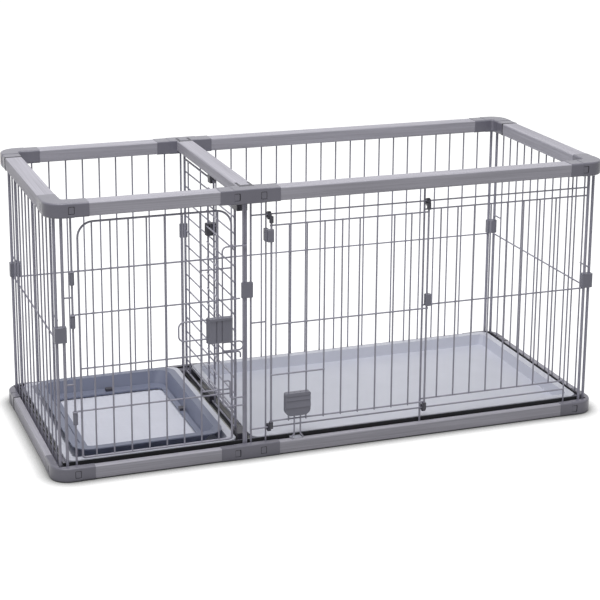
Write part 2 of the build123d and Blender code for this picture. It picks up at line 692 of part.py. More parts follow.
def hinge_sleeves():
    """Plastic sleeves gripping the hinge wire; the door's eyes ride on them."""
    tube = Cylinder(SLEEVE_DIAMETER / 2, SLEEVE_HEIGHT) - Cylinder(BORDER_WIRE / 2, SLEEVE_HEIGHT)
    top_rim = tube.edges().filter_by(GeomType.CIRCLE).group_by(Axis.Z)[-1].sort_by(SortBy.RADIUS)[-1]
    tube = chamfer(top_rim, SLEEVE_CHAMFER)
    drop = MESH_WIRE / 2 + SEAT_GAP + SLEEVE_HEIGHT / 2
    return group(*[Pos(hinge_x, front_y, z - drop) * tube for z in EYE_HEIGHTS])


def striker_post():
    """The flat post with a grooved face that the swing door closes against."""
    half = STRIKER_WIDTH / 2
    deep = STRIKER_DEPTH / 2
    face = front_y - deep
    body = rounded_bar(
        striker_x - half, striker_x + half, face, front_y + deep, foot_z, head_z, SMALL_EDGE
    )
    half_groove = STRIKER_GROOVE_WIDTH / 2
    return body - block(
        striker_x - half_groove, striker_x + half_groove, face - OVERCUT, face + STRIKER_GROOVE_DEPTH,
        foot_z - OVERCUT, head_z + OVERCUT,
    )


# ------------------------------------------------------------------ clips that tie the panels
def corner_clip():
    """The clip round both end posts at the front left corner."""
    long_post = (-end_post_x, front_y)
    short_post = (-wall_x, -side_post_y)
    reach = END_POST / 2 + CLIP_WALL
    body = rounded_bar(
        short_post[0] - reach, long_post[0] + reach, long_post[1] - reach, short_post[1] + reach,
        clip_z, clip_z + CLIP_HEIGHT, CLIP_EDGE,
    )
    for x, y in (long_post, short_post):
        body = body - upright(x, clip_z - OVERCUT, clip_z + CLIP_HEIGHT + OVERCUT, END_POST, y)
    return body


def corner_clips():
    """The clips at the four corners."""
    clip = corner_clip()
    left = [clip, mirror(clip, Plane.XZ)]
    right = [mirror(piece, Plane.YZ) for piece in left]
    return group(*left, *right)


def tee_clip(x0, x1, y, posts):
    """A clip round the two posts at a tee."""
    reach = BORDER_WIRE / 2 + CLIP_WALL
    top = TEE_CLIP_Z + TEE_CLIP_HEIGHT
    body = rounded_bar(x0 - CLIP_WALL, x1 + CLIP_WALL, y - reach, y + reach, TEE_CLIP_Z, top, CLIP_EDGE)
    for post in posts:
        body = body - post
    return body


def tee_clips(front_posts, back_posts):
    """The clips at the front and the back tee."""
    right = right_tee_post_x + BORDER_WIRE / 2
    front = tee_clip(striker_x - STRIKER_WIDTH / 2, right, front_y, front_posts)
    back = tee_clip(left_tee_post_x - BORDER_WIRE / 2, right, wall_y, back_posts)
    return group(front, back)


# ------------------------------------------------------------------ swing door
def guide_eye(z):
    """An eye on the door's edge wire that a prong of the bolt slides through."""
    return Pos(door_right_x, -bolt_out, z) * Rot(0, 90, 0) * Torus(guide_radius, GUIDE_EYE_WIRE / 2)


def door_hinge_wires():
    """The cross wires that end in eyes on the hinge wire; one runs on as a stop finger."""
    wires = []
    for i, z in enumerate(EYE_HEIGHTS):
        end = finger_x if i == FINGER_EYE else door_right_x
        wires.append(Pos(hinge_x, 0, z) * Torus(eye_radius, MESH_WIRE / 2))
        wires.append(cross_wire(hinge_x + eye_radius, end, z, MESH_WIRE, mesh_weld))
    return wires


def door_rest_wire():
    """The cross wire whose free end turns down as a stop finger."""
    points = [
        (door_left_x, mesh_weld, DOOR_REST_Z),
        (finger_x, mesh_weld, DOOR_REST_Z),
        (finger_x, mesh_weld, DOOR_REST_Z - FINGER_DROP),
    ]
    return bent_wire(points, MESH_WIRE, SPUR_RADIUS)


def latch_runner():
    """The bent wire on the door's outer face that the latch slides along."""
    left = door_right_x - RUNNER_LENGTH
    points = [
        (door_right_x, -mesh_weld, RUNNER_HIGH_Z),
        (left, -mesh_weld, RUNNER_HIGH_Z),
        (left, -mesh_weld, RUNNER_LOW_Z),
        (door_right_x, -mesh_weld, RUNNER_LOW_Z),
    ]
    return bent_wire(points, MESH_WIRE, RUNNER_RADIUS)


def swing_door():
    """The wire door of the small room."""
    corners = [
        (door_left_x, 0, DOOR_LOW_Z),
        (door_right_x, 0, DOOR_LOW_Z),
        (door_right_x, 0, door_high_z),
        (door_left_x, 0, door_high_z),
    ]
    bends = [DOOR_LOW_RADIUS, DOOR_LOW_RADIUS, DOOR_TOP_RADIUS, DOOR_TOP_RADIUS]
    wires = [bent_wire(corners, BORDER_WIRE, bends, close=True)]
    for i in range(DOOR_UPRIGHTS):
        wires.append(upright(door_left_x + DOOR_EDGE_BAY + i * door_pitch, DOOR_LOW_Z, door_high_z))
    wires += door_hinge_wires()
    wires.append(door_rest_wire())
    wires.append(latch_runner())
    for z in (BRACE_HIGH_Z, BRACE_LOW_Z):
        wires.append(cross_wire(door_right_x - BRACE_LENGTH, door_right_x, z, MESH_WIRE, mesh_weld))
    for z in (bolt_high_z, SPUR_LOW_Z, BOLT_LOW_Z):
        wires.append(guide_eye(z))
    return Pos(0, front_y, 0) * welded(*wires)


def latch_bolt():
    """The bent wire bolt, in front of the door's runner wires."""
    y = -bolt_out
    spur_x = door_right_x - SPUR_INSET
    main = [
        (striker_x + BOLT_OVER_STRIKER, y, bolt_high_z),
        (bolt_x, y, bolt_high_z),
        (bolt_x, y, BOLT_LOW_Z),
        (bolt_reach_x, y, BOLT_LOW_Z),
    ]
    spur = [
        (bolt_x, y, SPUR_HIGH_Z),
        (spur_x, y, SPUR_HIGH_Z),
        (spur_x, y, SPUR_LOW_Z),
        (bolt_reach_x, y, SPUR_LOW_Z),
    ]
    loop = [
        (bolt_x, y, LOOP_HIGH_Z),
        (bolt_reach_x, y, LOOP_HIGH_Z),
        (bolt_reach_x, y, LOOP_LOW_Z),
        (bolt_x, y, LOOP_LOW_Z),
    ]
    wires = [
        bent_wire(main, MESH_WIRE, BOLT_RADIUS),
        bent_wire(spur, MESH_WIRE, SPUR_RADIUS),
        bent_wire(loop, MESH_WIRE, LOOP_RADIUS),
    ]
    return Pos(0, front_y, 0) * welded(*wires)


def latch_block(bolt):
    """The thumb slide that carries the bolt along the runner wires."""
    back = -MESH_WIRE / 2 - SEAT_GAP
    face = back - LATCH_DEPTH
    flank_x = latch_left_x - LATCH_FLANK
    left = flank_x - OVERCUT
    right = latch_right_x + OVERCUT
    low = LATCH_LOW_Z - OVERCUT
    lip_z = LATCH_HIGH_Z - LATCH_LIP_HEIGHT
    plan = [(flank_x, back), (latch_right_x, back), (latch_right_x, face), (latch_left_x, face)]
    body = extrude(make_face(Polyline(*plan, close=True)), amount=LATCH_HIGH_Z - LATCH_LOW_Z)
    body = Pos(0, 0, LATCH_LOW_Z) * fillet(body.edges().filter_by(Axis.Z), SMALL_EDGE)
    band = face + LATCH_BAND_RECESS
    body = body - block(left, right, face - OVERCUT, band, low, lip_z)
    half = LATCH_GROOVE_WIDTH / 2
    for offset in LATCH_GROOVES:
        x = latch_left_x + offset
        body = body - block(x - half, x + half, face, band + LATCH_GROOVE_DEPTH, low, lip_z)
    bore = MESH_WIRE / 2 + RUNNING_FIT
    for z in (RUNNER_LOW_Z, RUNNER_HIGH_Z):
        body = body - cross_wire(left, right, z, 2 * bore, -mesh_weld)
        body = body - block(left, right, -mesh_weld, back + OVERCUT, z - bore, z + bore)
    return Pos(0, front_y, 0) * body - bolt


# ------------------------------------------------------------------ sliding door
def sliding_door():
    """The wire door of the large room, its edge wires held in the eyelets' feet."""
    edge_low = low_eyelet_z + EYELET_FOOT_LENGTH - FOOT_GRIP
    edge_high = high_eyelet_z - EYELET_FOOT_LENGTH + FOOT_GRIP
    left = slider_left_x - WELD_OVERSHOOT
    right = slider_right_x + WELD_OVERSHOOT
    low = slider_low_z - WELD_OVERSHOOT
    high = slider_high_z + WELD_OVERSHOOT
    stop_end = slider_left_x + SLIDER_STOP_LENGTH
    wires = [
        upright(slider_left_x, edge_low, edge_high, BORDER_WIRE),
        upright(slider_right_x, edge_low, edge_high, BORDER_WIRE),
        cross_wire(left, right, slider_low_z, MESH_WIRE, mesh_weld),
        cross_wire(left, right, slider_high_z, MESH_WIRE, mesh_weld),
        cross_wire(left, right, SLIDER_MID_Z, MESH_WIRE, -mesh_weld),
        cross_wire(left, stop_end, SLIDER_STOP_Z, MESH_WIRE, -mesh_weld),
    ]
    for i in range(1, SLIDER_BAYS):
        wires.append(upright(slider_left_x + i * slider_pitch, low, high))
    return Pos(0, slider_y, 0) * welded(*wires)


def eyelet(x, side, upper, door):
    """A plastic eyelet round a track wire, with a foot clamped on the door's edge wire."""
    ring_x = x + side * EYELET_OUTSET
    ring_z = high_eyelet_z if upper else low_eyelet_z
    foot_end = ring_z - EYELET_FOOT_LENGTH if upper else ring_z + EYELET_FOOT_LENGTH
    z0, z1 = sorted((ring_z, foot_end))
    half = EYELET_FOOT_WIDTH / 2
    deep = EYELET_FOOT_DEPTH / 2
    foot = rounded_bar(x - half, x + half, slider_y - deep, slider_y + deep, z0, z1, SOFT_EDGE)
    ring = across(ring_x, track_y, ring_z, EYELET_DIAMETER, EYELET_THICKNESS)
    hole = across(ring_x, track_y, ring_z, EYELET_HOLE, 2 * EYELET_FOOT_WIDTH)
    return ring + foot - hole - door


def eyelets(door):
    """The four eyelets at the sliding door's corners."""
    pieces = []
    for x, side in ((slider_left_x, -1), (slider_right_x, 1)):
        for upper in (False, True):
            pieces.append(eyelet(x, side, upper, door))
    return group(*pieces)


def grip(x, side, z):
    """The body of a clip on one of the sliding door's edge wires."""
    middle = x + side * GRIP_OFFSET
    half = GRIP_WIDTH / 2
    deep = GRIP_DEPTH / 2
    tall = GRIP_HEIGHT / 2
    return rounded_bar(
        middle - half, middle + half, slider_y - deep, slider_y + deep, z - tall, z + tall, GRIP_EDGE
    )


def left_grip(door):
    """The left clip, with a lobe that snaps round the doorway's upright, open to the left."""
    z = slider_high_z - LEFT_GRIP_DROP
    tall = GRIP_HEIGHT / 2
    bore = MESH_WIRE / 2 + CATCH_GAP
    reach = bore + CATCH_WALL
    x = doorway_left_x
    body = grip(slider_left_x, -1, z)
    body = body + rounded_bar(x - reach, x + reach, slider_y, front_y + reach, z - tall, z + tall, GRIP_EDGE)
    slot = block(
        x - reach - OVERCUT, x + bore, front_y - bore, front_y + bore, z - tall - OVERCUT, z + tall + OVERCUT
    )
    return body - slot - door


def right_grip(door):
    """The right clip, slotted towards the middle of the door."""
    z = SLIDER_MID_Z + RIGHT_GRIP_RISE
    tall = GRIP_HEIGHT / 2 + OVERCUT
    half = GRIP_SLOT / 2
    x = slider_right_x
    slot = block(x - GRIP_WIDTH, x, slider_y - half, slider_y + half, z - tall, z + tall)
    return grip(x, 1, z) - slot - door


def grips(door):
    """The two clips on the sliding door's edge wires."""
    return group(left_grip(door), right_grip(door))


def lock_prongs():
    """The two wire prongs under the lock block, flared above the lower rail."""
    pieces = []
    for side in (-1, 1):
        x = lock_x + side * PRONG_SPACING / 2
        points = [
            (x, prong_y, lock_low_z + PRONG_IN_BLOCK),
            (x, prong_y, prong_foot_z + PRONG_FLARE_HEIGHT),
            (x + side * PRONG_FLARE, prong_y, prong_foot_z),
        ]
        pieces.append(bent_wire(points, MESH_WIRE, MESH_WIRE))
    return group(*pieces)


def lock_profile():
    """The lock block's side view: a full-depth lip, then finger steps that slope outwards."""
    back = slider_y + LOCK_DEPTH / 2
    face = slider_y - LOCK_DEPTH / 2
    step = face + LOCK_STEP
    z = lock_high_z - LOCK_LIP
    outline = [(back, lock_low_z), (back, lock_high_z), (face, lock_high_z), (face, z)]
    for drop in LOCK_STEP_DROPS:
        outline.append((step, z))
        z = lock_high_z - drop
        outline.append((face, z))
    outline += [(step, z), (step, lock_low_z)]
    return outline


def lock_block(prongs):
    """The block that slides up two uprights of the door."""
    half = LOCK_WIDTH / 2
    deep = LOCK_DEPTH / 2
    front = block(lock_x - half, lock_x + half, slider_y - deep, slider_y + deep, lock_low_z, lock_high_z)
    front = fillet(front.edges().filter_by(Axis.Y).group_by(Axis.Z)[0], LOCK_CORNER)
    front = fillet(front.edges().filter_by(Axis.Y).group_by(Axis.Z)[-1], LOCK_TOP_CORNER)
    body = front & along_x(lock_profile(), lock_x - half, lock_x + half)
    for i in (LOCK_UPRIGHT, LOCK_UPRIGHT + 1):
        x = slider_left_x + i * slider_pitch
        bore = MESH_WIRE + 2 * RUNNING_FIT
        body = body - upright(x, lock_low_z - OVERCUT, lock_high_z + OVERCUT, bore, slider_y)
    for side in (-1, 1):
        x = lock_x + side * PRONG_SPACING / 2
        hole_z = lock_high_z - LOCK_HOLE_DEPTH
        body = body - upright(x, hole_z, lock_high_z + OVERCUT, LOCK_HOLE, slider_y)
    return body - prongs


def lock_keeper(rail_below):
    """The insert in the lower rail that the prongs stand astride."""
    half = KEEPER_WIDTH / 2
    outer = CONNECTOR_PROUD - DEPTH / 2
    low = foot_z + BORDER_WIRE + SEAT_GAP
    high = CONNECTOR_PROUD + RAIL_HEIGHT + KEEPER_PROUD
    inner = outer + RAIL_OUTER_WALL + GROOVE_WIDTH + LIP_WIDTH
    return block(lock_x - half, lock_x + half, outer + KEEPER_START, inner, low, high) - rail_below


# ------------------------------------------------------------------ divider
def divider_foot_bar():
    """The wire across the pen's whole depth that the divider stands on."""
    return depth_wire(divider_x, SEAT_GAP - inner_y, inner_y - SEAT_GAP, DIVIDER_LOW_Z, BORDER_WIRE)


def divider_panel():
    """The fixed rear half of the divider."""
    x = divider_x
    foot = DIVIDER_LOW_Z + BORDER_WIRE / 2
    inner_upright_y = divider_back_y - DIVIDER_INNER_BAY
    top = [
        (x, divider_back_y, divider_high_z),
        (x, DIVIDER_MID_Y, divider_high_z),
        (x, DIVIDER_MID_Y, foot),
    ]
    wires = [
        upright(x, connector_height, upper_z, BORDER_WIRE, divider_back_y),
        upright(x, foot, divider_high_z, MESH_WIRE, inner_upright_y),
        bent_wire(top, BORDER_WIRE, DIVIDER_BEND),
    ]
    for z in row_heights:
        wires.append(depth_wire(x + track_weld, DIVIDER_MID_Y, divider_back_y, z))
    return welded(*wires)


def leaf_post():
    """The post in the two front brackets that the divider's door turns on."""
    return upright(
        leaf_x, bracket_top_z - PIVOT_DEPTH, high_bracket_z + PIVOT_DEPTH, PIVOT_POST, leaf_pivot_y
    )


def divider_leaf(post):
    """The wires of the door in the divider, welded to its post."""
    edge = [
        (leaf_x, leaf_pivot_y, LEAF_LOW_Z),
        (leaf_x, leaf_rear_y, LEAF_LOW_Z),
        (leaf_x, leaf_rear_y, leaf_high_z),
        (leaf_x, leaf_pivot_y, leaf_high_z),
    ]
    wires = [bent_wire(edge, BORDER_WIRE, DIVIDER_BEND)]
    row_x = leaf_x - track_weld
    for z in row_heights:
        if LEAF_LOW_Z + BORDER_WIRE < z < leaf_high_z - BORDER_WIRE:
            wires.append(depth_wire(row_x, leaf_pivot_y - LEAF_OVERSHOOT, leaf_rear_y, z))
    return welded(*wires) - post


def brackets(panel_wires, foot_bar):
    """The four brackets that hold the divider and the leaf's pivot post."""
    bore = PIVOT_POST / 2 + RUNNING_FIT
    left = leaf_x - bore - BRACKET_WALL
    right = divider_x + BRACKET_RIGHT_REACH
    rear = leaf_pivot_y + bore + BRACKET_WALL
    pivot_low = bracket_top_z - PIVOT_DEPTH - SEAT_GAP
    pivot_high = high_bracket_z + PIVOT_DEPTH + SEAT_GAP
    pivot = upright(leaf_x, pivot_low, pivot_high, 2 * bore, leaf_pivot_y)
    low = rounded_bar(left, right, -inner_y, rear, BRACKET_LOW_Z, bracket_top_z, SOFT_EDGE)
    high = rounded_bar(left, right, -inner_y, rear, high_bracket_z, cross_rail_z, SOFT_EDGE)
    wide = HANGER_WIDTH / 2
    half = MID_BRACKET_LENGTH / 2
    hang = HANGER_LENGTH / 2
    mid_low = rounded_bar(
        divider_x - wide, divider_x + wide, MID_BRACKET_Y - half, MID_BRACKET_Y + half,
        BRACKET_LOW_Z, bracket_top_z, SOFT_EDGE,
    )
    mid_high = rounded_bar(
        divider_x - wide, divider_x + wide, HANGER_Y - hang, HANGER_Y + hang,
        divider_high_z - HANGER_BELOW, cross_rail_z, SOFT_EDGE,
    )
    front = [low - pivot - foot_bar, high - pivot]
    return group(*front, mid_low - foot_bar - panel_wires, mid_high - panel_wires)


def snap_clip(panel_wires):
    """The clip on the divider that the leaf's rear post snaps into, open to the left."""
    slot = BORDER_WIRE / 2 + SNAP_SLOT_GAP
    left = leaf_x - slot - SNAP_WALL
    right = divider_x + track_weld + MESH_WIRE / 2 + SNAP_WALL
    front = leaf_rear_y - slot - SNAP_WALL
    rear = DIVIDER_MID_Y + SNAP_REACH
    low = snap_z
    top = snap_z + SNAP_HEIGHT
    open_left = left - OVERCUT
    open_right = leaf_x + slot
    body = rounded_bar(left, right, front, rear, low, top, SOFT_EDGE)
    body = body - block(
        open_left, open_right, leaf_rear_y - slot, leaf_rear_y + slot, low - OVERCUT, top + OVERCUT
    )
    row = MESH_WIRE / 2 + SNAP_SLOT_GAP
    for z in row_heights:
        if low - row < z < top + row:
            body = body - block(open_left, open_right, front - OVERCUT, leaf_rear_y, z - row, z + row)
    hole_y = (leaf_rear_y + slot + rear) / 2
    middle = (low + top) / 2
    tall = SNAP_HOLE_HEIGHT / 2
    wide = SNAP_HOLE_WIDTH / 2
    hole = rounded_bar(
        open_left, divider_x - BORDER_WIRE, hole_y - wide, hole_y + wide, middle - tall, middle + tall,
        SNAP_HOLE_EDGE, Axis.X,
    )
    return body - hole - panel_wires


# ------------------------------------------------------------------ trays
def dish(x0, x1, half_y, floor_z, rim_z, rim_width, slope, wall, corner_radius):
    """An open tray with a flat rim and sloping walls, as a solid of even wall."""
    middle = (x0 + x1) / 2
    length = x1 - x0
    depth = 2 * half_y

    def outline(inset, z, radius):
        return Pos(middle, 0, z) * RectangleRounded(length - 2 * inset, depth - 2 * inset, radius)

    outer_rim = outline(rim_width, rim_z, corner_radius)
    outer_floor = outline(rim_width + slope, floor_z, corner_radius)
    inner_rim = outline(rim_width + wall, rim_z, corner_radius - wall)
    inner_floor = outline(rim_width + slope + wall, floor_z + wall, corner_radius - wall)
    rim = extrude(outline(0, rim_z - wall, corner_radius + rim_width / 2), amount=wall)
    rim = rim - extrude(outline(rim_width + wall / 2, rim_z - wall, corner_radius), amount=wall)
    return loft([outer_rim, outer_floor]) + rim - loft([inner_rim, inner_floor])


def floor_tray(x0, x1):
    """A floor tray hung by its turned edge on the connectors of the lower ring."""
    body = dish(
        x0, x1, tray_rim_y, TRAY_FLOOR_Z, tray_rim_z, TRAY_RIM_WIDTH, TRAY_SLOPE, TRAY_WALL, TRAY_CORNER
    )
    length = x1 - x0
    depth = 2 * tray_rim_y
    radius = TRAY_CORNER + TRAY_RIM_WIDTH / 2
    edge = plate(length, depth, radius, TRAY_EDGE_HEIGHT)
    hollow = plate(length - 2 * TRAY_EDGE, depth - 2 * TRAY_EDGE, radius - TRAY_EDGE, TRAY_EDGE_HEIGHT)
    return body + Pos((x0 + x1) / 2, 0, tray_edge_z) * (edge - hollow)


def toilet_tray():
    """The deep tray for the toilet pad, standing in the left floor tray."""
    half = toilet_length / 2
    return dish(
        toilet_x - half, toilet_x + half, toilet_depth / 2, toilet_floor_z, TOILET_HIGH_Z,
        TOILET_RIM, TOILET_SLOPE, TOILET_WALL, TOILET_CORNER,
    )


def toilet_pad():
    """The absorbent pad on the toilet tray's floor."""
    sheet = plate(pad_length, pad_depth, PAD_CORNER, PAD_HEIGHT)
    sheet = fillet(sheet.faces().sort_by(Axis.Z)[-1].edges(), PAD_EDGE)
    return Pos(toilet_x, 0, pad_z) * sheet


def retainer_size():
    """Length and depth of the toilet tray's inside at the retainer's underside, less the seat gap."""
    share = (TOILET_HIGH_Z - retainer_z) / (TOILET_HIGH_Z - toilet_floor_z - TOILET_WALL)
    inset = TOILET_RIM + TOILET_WALL + share * TOILET_SLOPE + SEAT_GAP
    return toilet_length - 2 * inset, toilet_depth - 2 * inset


def retainer():
    """The frame that holds the pad's edges down."""
    length, depth = retainer_size()
    ring = plate(length, depth, TOILET_CORNER - TOILET_WALL, RETAINER_HEIGHT)
    hole = plate(opening_length, opening_depth, RETAINER_CORNER, RETAINER_HEIGHT)
    return Pos(toilet_x, 0, retainer_z) * (ring - hole)


def retainer_latch(x, y, half_x, half_y):
    """A small latch on the retainer."""
    z = retainer_z + RETAINER_HEIGHT
    return rounded_bar(
        x - half_x, x + half_x, y - half_y, y + half_y, z, z + RETAINER_LATCH_HEIGHT, SOFT_EDGE
    )


def retainer_latches():
    """The two latches on the retainer's back and right bars."""
    length, depth = retainer_size()
    half = RETAINER_LATCH_WIDTH / 2
    deep = RETAINER_LATCH_LENGTH / 2
    back_y = (depth + opening_depth) / 4
    right_x = toilet_x + (length + opening_length) / 4
    return group(retainer_latch(toilet_x, back_y, half, deep), retainer_latch(right_x, 0, deep, half))


# ------------------------------------------------------------------ assembly
def ring_corners(rails, lift, upper):
    """The four corner connectors of a ring, each hollowed by the rails in it."""
    front_left = Pos(-LENGTH / 2, -DEPTH / 2, lift) * corner(upper)
    front_right = mirror(front_left, Plane.YZ)
    corners = {
        "front_left": (front_left, "left"),
        "front_right": (front_right, "right"),
        "back_left": (mirror(front_left, Plane.XZ), "left"),
        "back_right": (mirror(front_right, Plane.XZ), "right"),
    }
    return {name: body - rails[name] - rails[side] for name, (body, side) in corners.items()}


def ring_tees(rails, lift, upper):
    """The front and the back tee of a ring, each hollowed by the rails in it."""
    tees = {}
    for name, turn, x in (("front", 0, TEE_X), ("back", 180, -TEE_X)):
        body = to_side(Pos(x, 0, lift) * tee(upper), turn, DEPTH / 2)
        body = body - rails[f"{name}_left"] - rails[f"{name}_right"]
        tees[name] = body - latch_pockets() if upper else body
    return tees


def rings():
    """The rails and connectors of both rings."""
    nodes = {}
    for upper, ring in ((False, "bottom"), (True, "top")):
        lift = upper_z if upper else 0
        rails = {}
        for name, x0, x1, turn, distance in rail_spans():
            rails[name] = to_side(rail(x0, x1, upper), turn, distance)
            nodes[f"{ring}_rail_{name}"] = rails[name]
        for name, body in ring_corners(rails, lift, upper).items():
            nodes[f"{ring}_corner_{name}"] = body
        for name, body in ring_tees(rails, lift, upper).items():
            nodes[f"{ring}_tee_{name}"] = body
    return nodes


def snap_pegs():
    """The pegs in the windows of all front and back connectors."""
    pieces = []
    corner_x = LENGTH / 2 - window_from_corner
    left_ends = (-corner_x, TEE_X + window_from_tee)
    right_ends = (TEE_X - window_from_tee, corner_x)
    front = [*left_ends, *[x - PEG_SHIFT for x in right_ends]]
    for lift in (0, upper_z):
        for x in front:
            pieces.append(to_side(Pos(x, 0, lift) * peg(), 0, DEPTH / 2))
        for x in (*left_ends, *right_ends):
            pieces.append(to_side(Pos(-x, 0, lift) * peg(), 180, DEPTH / 2))
    return group(*pieces)


def walls():
    """The fixed wire panels, their clips and the hinge side of the swing door."""
    nodes = {
        "left_panel": side_panel(-90),
        "right_panel": side_panel(90),
        "back_left_panel": back_left_panel(),
        "back_right_panel": back_right_panel(),
        "front_right_panel": front_right_panel(),
        "hinge_stile": hinge_stile(),
        "hinge_sleeves": hinge_sleeves(),
        "striker_post": striker_post(),
        "corner_clips": corner_clips(),
    }
    front_posts = (nodes["striker_post"], nodes["front_right_panel"])
    back_posts = (nodes["back_left_panel"], nodes["back_right_panel"])
    nodes["tee_clips"] = tee_clips(front_posts, back_posts)
    return nodes


def doors(rail_below):
    """Both doors in the front wall with their locks."""
    nodes = {
        "swing_door": swing_door(),
        "latch_bolt": latch_bolt(),
        "sliding_door": sliding_door(),
        "lock_prongs": lock_prongs(),
        "lock_keeper": lock_keeper(rail_below),
    }
    nodes["latch_block"] = latch_block(nodes["latch_bolt"])
    nodes["slider_eyelets"] = eyelets(nodes["sliding_door"])
    nodes["slider_grips"] = grips(nodes["sliding_door"])
    nodes["lock_block"] = lock_block(nodes["lock_prongs"])
    return nodes


def divider():
    """The wall between the rooms and the door in it."""
    nodes = {
        "divider_panel": divider_panel(),
        "divider_foot_bar": divider_foot_bar(),
        "leaf_post": leaf_post(),
    }
    nodes["divider_leaf"] = divider_leaf(nodes["leaf_post"])
    nodes["divider_brackets"] = brackets(nodes["divider_panel"], nodes["divider_foot_bar"])
    nodes["divider_snap_clip"] = snap_clip(nodes["divider_panel"])
    return nodes


def trays():
    """The floor trays and everything that stands in them."""
    return {
        "right_tray": floor_tray(right_tray_x0, tray_end_x),
        "left_tray": floor_tray(-tray_end_x, left_tray_x1),
        "toilet_tray": toilet_tray(),
        "toilet_pad": toilet_pad(),
        "toilet_retainer": retainer(),
        "retainer_latches": retainer_latches(),
    }


def main():
    nodes = rings()
    nodes["snap_pegs"] = snap_pegs()
    nodes["top_cross_rail"] = cross_rail()
    nodes["cross_rail_latches"] = cross_latches()
    nodes |= walls()
    nodes |= doors(nodes["bottom_rail_front_right"])
    nodes |= divider()
    nodes |= trays()
    os.makedirs("parts", exist_ok=True)
    for name, shape in nodes.items():
        export_step(shape, f"parts/{name}.step")


main()
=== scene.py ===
"""The look of a two-room wire dog pen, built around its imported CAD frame. Metres, +Z up."""

import json
import math

import bmesh
import bpy
from mathutils import Matrix, Vector

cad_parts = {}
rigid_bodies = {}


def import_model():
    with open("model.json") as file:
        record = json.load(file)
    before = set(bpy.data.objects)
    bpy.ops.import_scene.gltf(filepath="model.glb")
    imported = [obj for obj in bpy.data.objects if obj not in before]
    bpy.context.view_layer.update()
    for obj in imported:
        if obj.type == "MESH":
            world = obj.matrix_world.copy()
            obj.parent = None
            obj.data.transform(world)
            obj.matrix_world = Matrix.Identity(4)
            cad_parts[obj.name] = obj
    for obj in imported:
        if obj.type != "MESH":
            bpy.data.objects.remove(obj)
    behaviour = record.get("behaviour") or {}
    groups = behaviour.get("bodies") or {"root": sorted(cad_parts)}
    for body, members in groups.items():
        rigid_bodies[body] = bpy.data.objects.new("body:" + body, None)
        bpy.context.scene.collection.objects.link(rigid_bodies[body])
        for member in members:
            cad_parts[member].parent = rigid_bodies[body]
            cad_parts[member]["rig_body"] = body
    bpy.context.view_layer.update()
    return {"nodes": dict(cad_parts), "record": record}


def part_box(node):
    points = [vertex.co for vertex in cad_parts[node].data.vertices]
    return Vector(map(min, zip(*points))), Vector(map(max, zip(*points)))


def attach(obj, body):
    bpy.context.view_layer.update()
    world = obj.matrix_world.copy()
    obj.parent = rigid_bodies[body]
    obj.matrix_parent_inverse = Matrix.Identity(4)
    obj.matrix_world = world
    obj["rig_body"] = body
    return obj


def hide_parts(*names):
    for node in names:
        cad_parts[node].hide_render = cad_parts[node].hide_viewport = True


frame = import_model()
nodes = frame["nodes"]

MM = 0.001

# ------------------------------------------------------------------ camera
CAMERA_AT = (-1.2503, -3.4957, 1.4297)
CAMERA_YAW = 20.72  # degrees to the right of +Y
CAMERA_PITCH = 14.24  # degrees down
CAMERA_ROLL = 0.633
SENSOR = 36.0
LENS = 102.71
SHIFT_X = -0.05
SHIFT_Y = -0.1667

# ------------------------------------------------------------------ wire sizes
MESH_WIRE = 3.5 * MM
BORDER_WIRE = 4.5 * MM
END_POST = 6.5 * MM
PIVOT_POST = 5.5 * MM
EYE_WIRE = 3.0 * MM
LAP = 0.8 * MESH_WIRE  # distance between the axes of two welded mesh wires
TRACK_LAP = 0.4 * (BORDER_WIRE + MESH_WIRE)
OVERSHOOT = 3.0 * MM
FIT = 0.1 * MM
SEAT = 0.3 * MM
WIRE_SIDES = 4  # curve bevel resolution, twelve sides
ARC_STEPS = 8  # points in a bend
RING_STEPS = 28  # points in an eye
DOME = [math.radians(a) for a in (25, 50, 75, 90)]  # where a domed end has its points

# ------------------------------------------------------------------ wire layout
MID_WIRE_Z = 295 * MM
SIDE_LINK_Z = 343 * MM
SIDE_BAYS = 13
BACK_LEFT_BAYS = 10
BACK_RIGHT_BAYS = 21
WINDOW_BAYS = 10
STRIKER_FROM_TEE = 8 * MM
DOORWAY_FROM_TEE = 38.5 * MM
DOORWAY_WIDTH = 358 * MM
TRACK_LOW_Z = 60 * MM
TRACK_HIGH_Z = 530 * MM
WINDOW_LOW_Z = 78 * MM
WINDOW_HIGH_Z = 510 * MM
SLIDER_BAYS = 9
SLIDER_LOW_Z = 75.5 * MM
SLIDER_HIGH_Z = 507 * MM
SLIDER_MID_Z = 293 * MM
SLIDER_STOP_Z = 181 * MM
SLIDER_STOP_LENGTH = 120 * MM
PRONG_SPACING = 14 * MM
PRONG_FLARE = 7 * MM
PRONG_FLARE_HEIGHT = 9 * MM
DOOR_FROM_HINGE = 13.5 * MM
DOOR_UPRIGHTS = 8
DOOR_EDGE_BAY = 29 * MM
DOOR_TOP_BEND = 32 * MM
DOOR_LOW_BEND = 6 * MM
EYE_HEIGHTS = (443 * MM, 352 * MM, 145 * MM)
FINGER_EYE = 1
FINGER_REACH = 20 * MM
FINGER_DROP = 14 * MM
DOOR_REST_Z = 236 * MM
STILE_LINKS = (390 * MM, 205 * MM)
RUNNER_LOW_Z = 272.5 * MM
RUNNER_HIGH_Z = 314 * MM
RUNNER_LENGTH = 115 * MM
RUNNER_BEND = 12 * MM
BRACE_LENGTH = 68 * MM
BRACES = (420 * MM, 155 * MM)
BOLT_INSET = 21.5 * MM
BOLT_OVER_STRIKER = 3.5 * MM
BOLT_BEFORE_STRIKER = 5.5 * MM
BOLT_BEND = 10 * MM
SPUR_INSET = 5.5 * MM
SPUR_HIGH_Z = 177 * MM
SPUR_LOW_Z = 137 * MM
SMALL_BEND = 6 * MM
